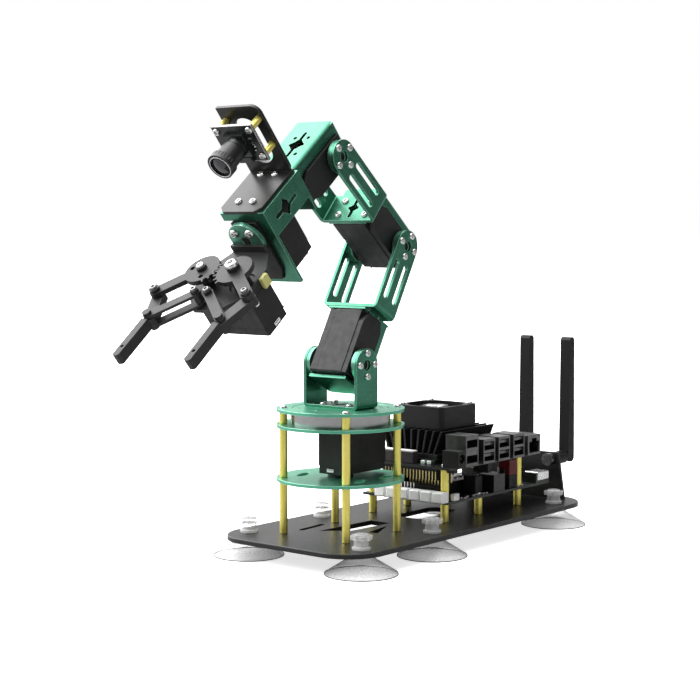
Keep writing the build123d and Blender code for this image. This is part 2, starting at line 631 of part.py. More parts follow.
with BuildPart() as camera_plate:
    low_v, high_v = CAMERA_PLATE_V
    with BuildSketch(HAND.offset(PLATE_LOW)) as foot:
        with Locations(((low_v - 1 + high_v) / 2, 0)):
            Rectangle(high_v - low_v + 1, 2 * CAMERA_HALF_W)
        chamfer(foot.vertices().group_by(Axis(HAND.origin, ALONG))[-1], PLATE_CORNER)
    extrude(foot.sketch, amount=SHEET, dir=ABOVE)
    with BuildSketch(TOOL_FACE.offset(low_v - 1)) as upright:
        with Locations((0, (PLATE_LOW + CAMERA_TOP_W) / 2)):
            Rectangle(2 * CAMERA_HALF_W, CAMERA_TOP_W - PLATE_LOW)
        fillet(upright.vertices().group_by(Axis(HAND.origin, ABOVE))[-1], PLATE_TOP_R)
        with Locations((0, WINDOW_W)):
            SlotOverall(WINDOW_LENGTH, WINDOW_WIDTH, rotation=90, mode=Mode.SUBTRACT)
        with Locations(*POST_POINTS):
            Circle(SCREW_HOLE_R, mode=Mode.SUBTRACT)
    extrude(upright.sketch, amount=SHEET, dir=ALONG)
    rod(HAND, CAMERA_SCREWS, SCREW_HOLE_R, (PLATE_LOW - CUT, PLATE_HIGH + CUT), Mode.SUBTRACT)
finish(camera_plate, "camera_plate")

with BuildPart() as camera_standoffs:
    post = (CAMERA_PLATE_V[0] - 1 + SHEET, BOARD_V)
    rod(TOOL_FACE, POST_POINTS, CAMERA_POST_R, post)
    rod(TOOL_FACE, POST_POINTS, SCREW_HOLE_R, post, Mode.SUBTRACT)
finish(camera_standoffs, "camera_standoffs")

with BuildPart() as camera_board:
    face = BOARD_V + BOARD_T
    holder = (BOARD_V + HOLDER_STEPS[0], BOARD_V + HOLDER_STEPS[1])
    square = (LENS_W - HOLDER_HALF, LENS_W + HOLDER_HALF)
    block(TOOL_FACE, (-BOARD_HALF_Y, BOARD_HALF_Y), BOARD_W, (BOARD_V, face))
    block(TOOL_FACE, (-HOLDER_HALF, HOLDER_HALF), square, (face, holder[0]))
    rod(TOOL_FACE, [(0, LENS_W)], HOLDER_R, holder)
    bore = (BOARD_V + LENS_STEPS[0] - RUN, holder[1] + CUT)
    rod(TOOL_FACE, [(0, LENS_W)], LENS_THREAD_R + 2 * PIN_PLAY, bore, Mode.SUBTRACT)
    block(TOOL_FACE, BOARD_SOCKET[0], BOARD_SOCKET[1], (face, BOARD_V + BOARD_SOCKET[2]))
    rod(TOOL_FACE, POST_POINTS, SCREW_HOLE_R, (BOARD_V - CUT, face + CUT), Mode.SUBTRACT)
finish(camera_board, "camera_board")

with BuildPart() as camera_lens:
    thread, barrel, rim, front = [BOARD_V + step for step in LENS_STEPS]
    rod(TOOL_FACE, [(0, LENS_W)], LENS_THREAD_R, (thread, barrel))
    rod(TOOL_FACE, [(0, LENS_W)], LENS_R, (barrel, rim))
    rod(TOOL_FACE, [(0, LENS_W)], LENS_RIM_R, (rim, front))
    pocket = (front - LENS_POCKET, front + CUT)
    rod(TOOL_FACE, [(0, LENS_W)], LENS_R - PIN_FIT, pocket, Mode.SUBTRACT)
    knurls = circle_points(LENS_RIM_R + 0.2, 24, (0, LENS_W))
    rod(TOOL_FACE, knurls, 0.45, (rim + 0.5, front - 2.0), Mode.SUBTRACT)
finish(camera_lens, "camera_lens")

with BuildPart() as wrist_screws:
    screws(HAND.offset(PLATE_HIGH), CAMERA_SCREWS)
    screws(TOOL_FACE.offset(BOARD_V + BOARD_T), POST_POINTS)
finish(wrist_screws, "wrist_screws")

# ---------------------------------------------------------------- gripper
ROLL_AXIS = ROLL.offset(-ROLL_SERVO_V)
HORN_V = (ROLL_SERVO_V + HORN_IN, ROLL_SERVO_V + EAR_OUT - SHEET)
MOUNT_V = (HORN_V[1], HORN_V[1] + SHEET)
LEFT_O = (PIVOT_O[0], -PIVOT_O[1])
LEFT_I = (PIVOT_I[0], -PIVOT_I[1])
OPEN = math.radians(OPEN_ANGLE)
ARM_STEP = (ARM_LEN * math.cos(OPEN), ARM_LEN * math.sin(OPEN))
PIVOT_A = (PIVOT_O[0] + ARM_STEP[0], PIVOT_O[1] + ARM_STEP[1])
PIVOT_B = (PIVOT_I[0] + ARM_STEP[0], PIVOT_I[1] + ARM_STEP[1])

with BuildPart() as roll_horn:
    rod(ROLL_AXIS, [(0, 0)], ROLL_HORN_R, HORN_V)
    rod(ROLL_AXIS, [(0, 0)], SHAFT_R + SHAFT_FIT, (HORN_V[0] - CUT, HORN_V[1] + CUT), Mode.SUBTRACT)
finish(roll_horn, "roll_horn")

GRIPPER_SERVO = Plane(
    origin=HAND.from_local_coords((PIVOT_O[0], PIVOT_O[1], DECK_W[0] - SERVO_DECK)),
    x_dir=(0, -1, 0), z_dir=ABOVE,
)
gripper_servo = servo(GRIPPER_SERVO, idler=False)
finish(gripper_servo, "gripper_servo")

DECK = [
    (MOUNT_V[0], -MOUNT_HALF_W), (96, -22), (119, -22), (132, -9), (132, 9), (119, 22), (96, 22),
    (MOUNT_V[0], MOUNT_HALF_W),
]
DECK_RIB_V = (121.5, 123.5)
DECK_RIB_HALF = 12.0
DECK_RIB_W = -20.0

with BuildPart() as gripper_frame:
    block(ROLL_AXIS, (ROLL_W, ROLL_W - DECK_W[0]), (-MOUNT_HALF_W, MOUNT_HALF_W), MOUNT_V)
    slab(HAND, DECK, DECK_W)
    rod(HAND, [PIVOT_O], SERVO_BOSS_R + GAP, (DECK_W[0] - CUT, DECK_W[1] + CUT), Mode.SUBTRACT)
    block(HAND, DECK_RIB_V, (-DECK_RIB_HALF, DECK_RIB_HALF), (DECK_RIB_W, DECK_W[0]))
    rod(HAND, [LEFT_O], ARM_PIN_R * 2, (DECK_W[1], ARM_W[0] - GAP))
    rod(HAND, [LEFT_O], ARM_PIN_R, (ARM_W[0] - GAP, ARM_W[1] + GAP))
    rod(HAND, [LEFT_O], ARM_PIN_HEAD_R, (ARM_W[1] + GAP, ARM_W[1] + PIN_HEAD_END))
    for pivot in (PIVOT_I, LEFT_I):
        rod(HAND, [pivot], LINK_PIN_R, (DECK_W[1], LINK_TOP_W[1] + GAP))
        rod(HAND, [pivot], LINK_PIN_HEAD_R, (LINK_LOW_W[1] + GAP, LINK_TOP_W[0] - GAP))
        rod(HAND, [pivot], LINK_PIN_HEAD_R, (LINK_TOP_W[1] + GAP, LINK_TOP_W[1] + PIN_HEAD_END))
finish(gripper_frame, "gripper_frame")


def geared_arm(centre, joint, tooth_angles, hub):
    """Gear sector with an arm running out to the finger joint."""
    with BuildPart() as piece:
        with BuildSketch(HAND.offset(ARM_W[0])) as profile:
            with Locations(centre):
                Circle(GEAR_ROOT_R)
            for turn in tooth_angles:
                with Locations(Location((centre[0], centre[1], 0), (0, 0, turn))):
                    Polygon(
                        (GEAR_ROOT_R - 0.6, -1.0), (GEAR_TIP_R, -0.4), (GEAR_TIP_R, 0.4),
                        (GEAR_ROOT_R - 0.6, 1.0), align=None,
                    )
        extrude(profile.sketch, amount=ARM_W[1] - ARM_W[0], dir=ABOVE)
        bar(HAND, centre, joint, ARM_END_R, ARM_W)
        through = (ARM_W[0] - CUT, ARM_W[1] + CUT)
        rod(HAND, [joint], ARM_PIN_R + PIN_PLAY, through, Mode.SUBTRACT)
        if hub:
            boss_top = DECK_W[0] + SERVO_BOSS - SERVO_DECK
            shaft_top = DECK_W[0] + SERVO_SHAFT_END - SERVO_DECK
            rod(HAND, [centre], DRIVE_HUB_R, (boss_top + GAP, ARM_W[0]))
            rod(HAND, [centre], DRIVE_CAP_R, (ARM_W[1], ARM_W[1] + DRIVE_CAP_H))
            bore = (DECK_W[0] + CUT, shaft_top + RUN)
            rod(HAND, [centre], SHAFT_R + SHAFT_FIT, bore, Mode.SUBTRACT)
        else:
            rod(HAND, [centre], ARM_PIN_R + PIN_PLAY, through, Mode.SUBTRACT)
            holes = circle_points(7.5, 3, centre, 150.0)
            rod(HAND, holes[1:], LINK_PIN_R, through, Mode.SUBTRACT)
    return piece


def link_pair(pivot, joint):
    """Upper and lower bars that keep the finger parallel."""
    with BuildPart() as piece:
        for w in (LINK_TOP_W, LINK_LOW_W):
            bar(HAND, pivot, joint, LINK_END_R, w)
            through = (w[0] - CUT, w[1] + CUT)
            rod(HAND, [pivot], LINK_PIN_R + PIN_PLAY, through, Mode.SUBTRACT)
            rod(HAND, [joint], LINK_PIN_R + 3 * PIN_PLAY, through, Mode.SUBTRACT)
    return piece


def finger(side):
    """Knuckle between the two joints, jaw bar and its joint pins; side is +1 or -1."""
    outer = (PIVOT_A[0], side * PIVOT_A[1])
    inner = (PIVOT_B[0], side * PIVOT_B[1])
    jaw_y = side * PIVOT_B[1]
    jaw_edges = (jaw_y - FINGER_HALF_T, jaw_y + FINGER_HALF_T)
    root_v = PIVOT_B[0] + LINK_END_R + 2 * GAP
    slope_v = FINGER_TIP_V - FINGER_TIP_CUT
    jaw = [
        (root_v, jaw_edges[0]), (slope_v, jaw_edges[0]), (FINGER_TIP_V, jaw_edges[0] + FINGER_TIP_CUT),
        (FINGER_TIP_V, jaw_edges[1] - FINGER_TIP_CUT), (slope_v, jaw_edges[1]), (root_v, jaw_edges[1]),
    ]
    with BuildPart() as piece:
        bar(HAND, outer, inner, KNUCKLE_R, KNUCKLE_W)
        block(HAND, (PIVOT_B[0], root_v + 1), jaw_edges, KNUCKLE_W)
        slab(HAND, jaw, FINGER_W)
        hole = [(FINGER_TIP_V - FINGER_HOLE_V, jaw_y)]
        rod(HAND, hole, FINGER_HOLE_R, (FINGER_W[0] - CUT, FINGER_W[1] + CUT), Mode.SUBTRACT)
        rod(HAND, [outer], ARM_PIN_R, (KNUCKLE_W[1], ARM_W[1] + GAP))
        rod(HAND, [outer], ARM_PIN_HEAD_R, (ARM_W[1] + GAP, ARM_W[1] + PIN_HEAD_END))
        rod(HAND, [inner], LINK_PIN_R, (LINK_LOW_W[0] - GAP, LINK_TOP_W[1] + GAP))
        rod(HAND, [inner], LINK_PIN_HEAD_R, (LINK_TOP_W[1] + GAP, LINK_TOP_W[1] + PIN_HEAD_END))
        rod(HAND, [inner], LINK_PIN_HEAD_R, (LINK_LOW_W[0] - 1.3, LINK_LOW_W[0] - GAP))
    return piece


def mirrored(point):
    return (point[0], -point[1])


drive_arm = geared_arm(PIVOT_O, PIVOT_A, [-117.0, -99.0, -81.0, -63.0, -45.0, -27.0], hub=True)
finish(drive_arm, "drive_arm")

driven_arm = geared_arm(LEFT_O, mirrored(PIVOT_A), [108.0, 90.0, 72.0, 54.0, 36.0], hub=False)
finish(driven_arm, "driven_arm")

drive_link = link_pair(PIVOT_I, PIVOT_B)
finish(drive_link, "drive_link")

driven_link = link_pair(LEFT_I, mirrored(PIVOT_B))
finish(driven_link, "driven_link")

right_finger = finger(1)
finish(right_finger, "right_finger")

left_finger = finger(-1)
finish(left_finger, "left_finger")

# ---------------------------------------------------------------- circuit boards
DRIVER_TOP = DRIVER_BOTTOM + BOARD_T
COMPUTER_TOP = COMPUTER_BOTTOM + BOARD_T
SPACER_SPOTS = [(x, y) for x in (STANDOFF_XS[0], STANDOFF_XS[2]) for y in (STANDOFF_Y, -STANDOFF_Y)]

DRIVER_PARTS = (
    ((-132, -119), (22, 34.5), 11.5),    # power relay
    ((-186, -170), (24, 35), 7.0),       # supply socket
    ((-98, -86), (-6, 6), 1.8),          # controller chip
    ((-128, -118), (-20, -10), 1.6),     # regulator chip
    ((-150, -92), (12, 17.2), 8.5),      # pin header
)
DRIVER_CAN = (-143, 27)
DRIVER_CAN_R = 5.0
DRIVER_CAN_H = 13.0

with BuildPart() as driver_board:
    block(FLOOR, DRIVER_X, (-DRIVER_HALF_W, DRIVER_HALF_W), (DRIVER_BOTTOM, DRIVER_TOP))
    rod(FLOOR, STANDOFFS, SCREW_HOLE_R, (DRIVER_BOTTOM - CUT, DRIVER_TOP + CUT), Mode.SUBTRACT)
    for x, y, height in DRIVER_PARTS:
        block(FLOOR, x, y, (DRIVER_TOP, DRIVER_TOP + height))
    rod(FLOOR, [DRIVER_CAN], DRIVER_CAN_R, (DRIVER_TOP, DRIVER_TOP + DRIVER_CAN_H))
finish(driver_board, "driver_board")

SOCKET_PITCH = 9.3
SOCKET_FIRST_Y = -20.0
SOCKET_X = (-66.6, -59.6)
SOCKET_H = 6.6
SOCKET_WALL = 1.2
SOCKET_DEPTH = 3.0

with BuildPart() as servo_sockets:
    for k in range(6):
        low_y = SOCKET_FIRST_Y + SOCKET_PITCH * k
        high_y = low_y + SOCKET_PITCH - 0.8
        block(FLOOR, SOCKET_X, (low_y, high_y), (DRIVER_TOP, DRIVER_TOP + SOCKET_H))
        mouth = (low_y + SOCKET_WALL, high_y - SOCKET_WALL)
        tall = (DRIVER_TOP + SOCKET_WALL, DRIVER_TOP + SOCKET_H - SOCKET_WALL)
        block(FLOOR, (SOCKET_X[1] - SOCKET_DEPTH, SOCKET_X[1] + CUT), mouth, tall, Mode.SUBTRACT)
finish(servo_sockets, "servo_sockets")

with BuildPart() as short_standoffs:
    rod(FLOOR, STANDOFFS, SPACER_R, (PLATE_TOP, DRIVER_BOTTOM))
    rod(FLOOR, STANDOFFS, SCREW_HOLE_R, (PLATE_TOP, DRIVER_BOTTOM), Mode.SUBTRACT)
finish(short_standoffs, "short_standoffs")

with BuildPart() as tall_spacers:
    rod(FLOOR, SPACER_SPOTS, SPACER_R, (DRIVER_TOP, COMPUTER_BOTTOM))
    rod(FLOOR, SPACER_SPOTS, SCREW_HOLE_R, (DRIVER_TOP, COMPUTER_BOTTOM), Mode.SUBTRACT)
finish(tall_spacers, "tall_spacers")

COMPUTER_PARTS = (
    ((-150, -92), (-37, -32), 2.5),      # pin header
    ((-136, -70), (-22, 22), 2.9),       # processor module
    ((-160, -152), (-20, -8), 4.0),      # camera socket
)

with BuildPart() as computer_board:
    board = (COMPUTER_BOTTOM, COMPUTER_TOP)
    block(FLOOR, COMPUTER_X, (-COMPUTER_HALF_W, COMPUTER_HALF_W), board)
    rod(FLOOR, SPACER_SPOTS, SCREW_HOLE_R, (board[0] - CUT, board[1] + CUT), Mode.SUBTRACT)
    for x, y, height in COMPUTER_PARTS:
        block(FLOOR, x, y, (COMPUTER_TOP, COMPUTER_TOP + height))
finish(computer_board, "computer_board")

HEAT_X = (-133.0, -73.0)
HEAT_HALF_W = 21.0
HEAT_BOTTOM = COMPUTER_TOP + 2.9
FIN_BASE = HEAT_BOTTOM + 3.0
FIN_TOP = FAN_Z[0] - 0.2
FIN_PITCH = 4.5
FIN_SPLAY = 1.35         # spacing at the fin tips over spacing at the base
FIN_HALF_T = 0.65
END_VIEW = Plane(origin=at(HEAT_X[0], 0, 0), x_dir=(0, 1, 0), z_dir=(1, 0, 0))

with BuildPart() as heat_sink:
    block(FLOOR, HEAT_X, (-HEAT_HALF_W, HEAT_HALF_W), (HEAT_BOTTOM, FIN_BASE))
    for k in range(-4, 5):
        foot_y = FIN_PITCH * k
        head_y = FIN_SPLAY * foot_y
        fin = [
            (foot_y - FIN_HALF_T, FIN_BASE - 0.5), (foot_y + FIN_HALF_T, FIN_BASE - 0.5),
            (head_y + FIN_HALF_T, FIN_TOP), (head_y - FIN_HALF_T, FIN_TOP),
        ]
        slab(END_VIEW, fin, (0, HEAT_X[1] - HEAT_X[0]))
finish(heat_sink, "heat_sink")

FAN_BORE_R = 18.8
FAN_SPIDER_H = 1.6
FAN_SEAT_R = 9.0
FAN_PIN_R = 2.0
FAN_PIN_H = 10.0
BLADES = 7
BLADE_R = 13.0
BLADE = (10.4, 1.4, 9.0)
BLADE_PITCH = 35.0
ROTOR_R = 8.5

with BuildPart() as fan_frame:
    with BuildSketch(FLOOR.offset(FAN_Z[0])) as outline:
        with Locations((FAN_X, 0)):
            RectangleRounded(2 * FAN_HALF, 2 * FAN_HALF, 3)
            Circle(FAN_BORE_R, mode=Mode.SUBTRACT)
    extrude(outline.sketch, amount=FAN_Z[1] - FAN_Z[0])
    rod(FLOOR, [(FAN_X, 0)], FAN_SEAT_R, (FAN_Z[0], FAN_Z[0] + FAN_SPIDER_H))
    for turn in (45, 135):
        with BuildSketch(FLOOR.offset(FAN_Z[0])) as strut:
            with Locations((FAN_X, 0)):
                Rectangle(2 * FAN_BORE_R + 1, 3, rotation=turn)
        extrude(strut.sketch, amount=FAN_SPIDER_H)
    rod(FLOOR, [(FAN_X, 0)], FAN_PIN_R, (FAN_Z[0], FAN_Z[0] + FAN_PIN_H))
    rod(FLOOR, FAN_CORNERS, SCREW_HOLE_R, (FAN_Z[1] - 5, FAN_Z[1] + CUT), Mode.SUBTRACT)
finish(fan_frame, "fan_frame")

with BuildPart() as fan_rotor:
    rod(FLOOR, [(FAN_X, 0)], ROTOR_R, (FAN_Z[0] + FAN_SPIDER_H + 0.6, FAN_Z[1] - 1.0))
    for k in range(BLADES):
        turn = 360.0 * k / BLADES
        swing = math.radians(turn)
        spot = at(FAN_X + BLADE_R * math.cos(swing), BLADE_R * math.sin(swing), FAN_Z[0] + 8.0)
        with Locations(Location(spot, (0, 0, turn)) * Location((0, 0, 0), (BLADE_PITCH, 0, 0))):
            Box(*BLADE)
    bore = (FAN_Z[0], FAN_Z[0] + FAN_PIN_H + RUN)
    rod(FLOOR, [(FAN_X, 0)], FAN_PIN_R + PIN_PLAY, bore, Mode.SUBTRACT)
finish(fan_rotor, "fan_rotor")

PORT_FRONT = 45.0
PORT_REAR = 28.0
PORT_FLOOR = 33.0        # how deep the openings of the ports go
USB_XS = (-91.5, -109.0, -126.5)
USB_W = 13.2
USB_H = 16.0
USB_WALL = 0.9
USB_MOUTHS = (1.6, 8.8)
USB_MOUTH_H = 5.4
USB_TONGUE = (2.8, 4.6)
NETWORK_X = (-159.5, -144.0)
NETWORK_H = 13.5
NETWORK_MOUTHS = (((-157.8, -145.7), (1.5, 9.0)), ((-154.6, -148.9), (8.5, 11.2)))
DISPLAY_X = (-87.0, -73.0)
DISPLAY_H = 20.0
DISPLAY_MOUTHS = ((2.0, 7.0), (12.0, 17.0))
JACK_X = (-71.8, -63.2)
JACK_H = 11.0
JACK_SPOT = (67.5, COMPUTER_TOP + 6.0)
JACK_BORE_R = 3.1
JACK_PIN_R = 0.9
FACE_VIEW = Plane(origin=at(0, PORT_FRONT, 0), x_dir=(-1, 0, 0), z_dir=(0, 1, 0))


def above_computer(span):
    return (COMPUTER_TOP + span[0], COMPUTER_TOP + span[1])


with BuildPart() as usb_ports:
    for right_x in USB_XS:
        shell = (right_x - USB_W, right_x)
        hollow = (shell[0] + USB_WALL, shell[1] - USB_WALL)
        block(FLOOR, shell, (PORT_REAR, PORT_FRONT), above_computer((0, USB_H)))
        for low_z in USB_MOUTHS:
            mouth = above_computer((low_z, low_z + USB_MOUTH_H))
            tongue = above_computer((low_z + USB_TONGUE[0], low_z + USB_TONGUE[1]))
            block(FLOOR, hollow, (PORT_FLOOR, PORT_FRONT + CUT), mouth, Mode.SUBTRACT)
            block(FLOOR, hollow, (PORT_REAR + 2, PORT_FRONT - 1.5), tongue)
finish(usb_ports, "usb_ports")

with BuildPart() as network_port:
    block(FLOOR, NETWORK_X, (PORT_REAR, PORT_FRONT), above_computer((0, NETWORK_H)))
    for x, heights in NETWORK_MOUTHS:
        block(FLOOR, x, (PORT_FLOOR, PORT_FRONT + CUT), above_computer(heights), Mode.SUBTRACT)
finish(network_port, "network_port")

with BuildPart() as display_port:
    block(FLOOR, DISPLAY_X, (PORT_REAR, PORT_FRONT - 1), above_computer((0, DISPLAY_H)))
    hollow = (DISPLAY_X[0] + 1, DISPLAY_X[1] - 1)
    for heights in DISPLAY_MOUTHS:
        block(FLOOR, hollow, (PORT_FLOOR, PORT_FRONT), above_computer(heights), Mode.SUBTRACT)
finish(display_port, "display_port")

with BuildPart() as power_jack:
    block(FLOOR, JACK_X, (PORT_FLOOR - 0.5, PORT_FRONT), above_computer((0, JACK_H)))
    rod(FACE_VIEW, [JACK_SPOT], JACK_BORE_R, (-9, CUT), Mode.SUBTRACT)
    rod(FACE_VIEW, [JACK_SPOT], JACK_PIN_R, (-9.5, -1))
finish(power_jack, "power_jack")

# ---------------------------------------------------------------- antennas
REAR_VIEW = Plane(origin=at(0, 0, 0), x_dir=(0, -1, 0), z_dir=(-1, 0, 0))
JACKS = [(-y, ANTENNA_Z) for y in ANTENNA_YS]
BRACKET_T = 1.8
WALL = (-ANTENNA_BRACKET_X - BRACKET_T, -ANTENNA_BRACKET_X)
WALL_OUTLINE = [(-42, PLATE_TOP), (42, PLATE_TOP), (37, 47), (-37, 47)]
FOOT_HALF_W = 36.0
FOOT_DEPTH = 8.0
JACK_ROD_R = 3.0
JACK_NUT_R = 4.6
JACK_INNER = 190.0
JACK_OUTER = 204.0
SOCKET_R = 4.6
SOCKET_SPAN = (WALL[1] + 2.4, 211.2)
FOLD_R = 3.4
FOLD_HALF_T = 1.3
FOLD_PIN_R = 1.3
WHIP_R = 3.9
WHIP_HALF_T = 4.0
WHIP_TIP = (2.8, 1.6)
WHIP_SLOT = ((-5, 5), (-5, 5.2), (-1.7, 1.7))

with BuildPart() as antenna_bracket:
    with BuildSketch(REAR_VIEW.offset(WALL[0])) as wall:
        Polygon(*WALL_OUTLINE, align=None)
        with Locations(*JACKS):
            Circle(JACK_ROD_R + GAP, mode=Mode.SUBTRACT)
    extrude(wall.sketch, amount=BRACKET_T, dir=REAR_VIEW.z_dir)
    foot_x = (ANTENNA_BRACKET_X - FOOT_DEPTH, ANTENNA_BRACKET_X + 1)
    block(FLOOR, foot_x, (-FOOT_HALF_W, FOOT_HALF_W), (PLATE_TOP, PLATE_TOP + BRACKET_T))
finish(antenna_bracket, "antenna_bracket")

with BuildPart() as antenna_jacks:
    rod(REAR_VIEW, JACKS, JACK_ROD_R, (JACK_INNER, JACK_OUTER))
    with BuildSketch(REAR_VIEW.offset(WALL[1])) as nuts:
        with Locations(*JACKS):
            RegularPolygon(JACK_NUT_R, 6)
    extrude(nuts.sketch, amount=2.0, dir=REAR_VIEW.z_dir)
    rod(REAR_VIEW, JACKS, JACK_NUT_R - 0.2, (JACK_INNER, WALL[0]))
finish(antenna_jacks, "antenna_jacks")


def antenna(name, y):
    """Swivelling elbow and the whip that folds on it."""
    jack = [(-y, ANTENNA_Z)]
    pivot = at(ANTENNA_PIVOT_X, y, ANTENNA_Z)
    profile_view = Plane(origin=pivot, x_dir=(1, 0, 0), z_dir=(0, -1, 0))
    tab = (-FOLD_HALF_T, FOLD_HALF_T)
    with BuildPart() as elbow:
        rod(REAR_VIEW, jack, SOCKET_R, SOCKET_SPAN)
        bore = (SOCKET_SPAN[0] - RUN, JACK_OUTER + 2)
        rod(REAR_VIEW, jack, JACK_ROD_R + PIN_PLAY, bore, Mode.SUBTRACT)
        block(profile_view, (0, 6.0), (-FOLD_R, FOLD_R), tab)
        rod(profile_view, [(0, 0)], FOLD_R, tab)
        rod(profile_view, [(0, 0)], FOLD_PIN_R, (-3 * FOLD_HALF_T, 3 * FOLD_HALF_T))
    finish(elbow, name + "_elbow")
    height = ANTENNA_TOP - ANTENNA_Z
    wide, narrow = WHIP_TIP
    taper = [
        (-WHIP_R, 0), (WHIP_R, 0), (wide, height - 2), (narrow, height), (-narrow, height),
        (-wide, height - 2),
    ]
    with BuildPart() as whip:
        with BuildSketch(profile_view.offset(-WHIP_HALF_T)) as blade:
            Circle(WHIP_R)
            Polygon(*taper, align=None)
        extrude(blade.sketch, amount=2 * WHIP_HALF_T, dir=profile_view.z_dir)
        block(profile_view, *WHIP_SLOT, Mode.SUBTRACT)
        rod(profile_view, [(0, 0)], FOLD_PIN_R + PIN_PLAY, (-5, 5), Mode.SUBTRACT)
    finish(whip, name + "_whip")


antenna("left_antenna", ANTENNA_YS[0])
antenna("right_antenna", ANTENNA_YS[1])
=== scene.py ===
import json
import math
import random

import bmesh
import bpy
from mathutils import Matrix, Vector


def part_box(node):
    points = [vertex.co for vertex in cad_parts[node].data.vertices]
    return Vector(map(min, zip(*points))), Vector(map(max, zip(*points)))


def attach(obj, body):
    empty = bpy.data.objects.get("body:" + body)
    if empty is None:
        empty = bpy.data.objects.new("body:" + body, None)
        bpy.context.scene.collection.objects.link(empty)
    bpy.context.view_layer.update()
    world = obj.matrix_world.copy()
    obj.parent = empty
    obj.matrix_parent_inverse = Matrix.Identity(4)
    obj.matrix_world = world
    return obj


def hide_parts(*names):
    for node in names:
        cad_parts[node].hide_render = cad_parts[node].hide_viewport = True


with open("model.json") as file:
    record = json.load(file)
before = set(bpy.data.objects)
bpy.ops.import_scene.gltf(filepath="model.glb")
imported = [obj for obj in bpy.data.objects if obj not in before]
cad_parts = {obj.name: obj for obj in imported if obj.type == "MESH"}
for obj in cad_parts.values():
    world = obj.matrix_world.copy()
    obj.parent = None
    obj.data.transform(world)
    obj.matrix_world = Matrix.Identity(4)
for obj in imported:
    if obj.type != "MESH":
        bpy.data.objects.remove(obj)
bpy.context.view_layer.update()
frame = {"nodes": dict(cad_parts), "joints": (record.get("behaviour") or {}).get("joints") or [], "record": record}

# ---------------------------------------------------------------- places read from the frame
MM = 0.001
DICE = random.Random(7)
BODY_OF = {node: body for body, nodes in frame["record"]["behaviour"]["bodies"].items() for node in nodes}
SLOT_OF = {part["node"]: part["material_slot"] for part in frame["record"]["subparts"]}
JOINTS = {joint["name"]: joint for joint in frame["joints"]}

SHOULDER = Vector(JOINTS["shoulder"]["pos_m"])
ELBOW = Vector(JOINTS["elbow"]["pos_m"])
WRIST = Vector(JOINTS["wrist_pitch"]["pos_m"])
YAW = Vector(JOINTS["turntable_yaw"]["pos_m"])
ALONG = Vector(JOINTS["gripper_roll"]["axis"])
ABOVE = Vector(JOINTS["gripper_drive"]["axis"])
SIDE = Vector((0, 1, 0))
UP = Vector((0, 0, 1))


def placed(origin, x_dir, z_dir):
    """Matrix of a frame in metres: columns are its x, y and z directions and its origin."""
    x_dir = Vector(x_dir).normalized()
    z_dir = Vector(z_dir).normalized()
    y_dir = z_dir.cross(x_dir)
    turn = Matrix((x_dir, y_dir, z_dir)).transposed().to_4x4()
    return Matrix.Translation(Vector(origin)) @ turn


def middle(node):
    """Centre of a node's box, in metres."""
    low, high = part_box(node)
    return (low + high) / 2


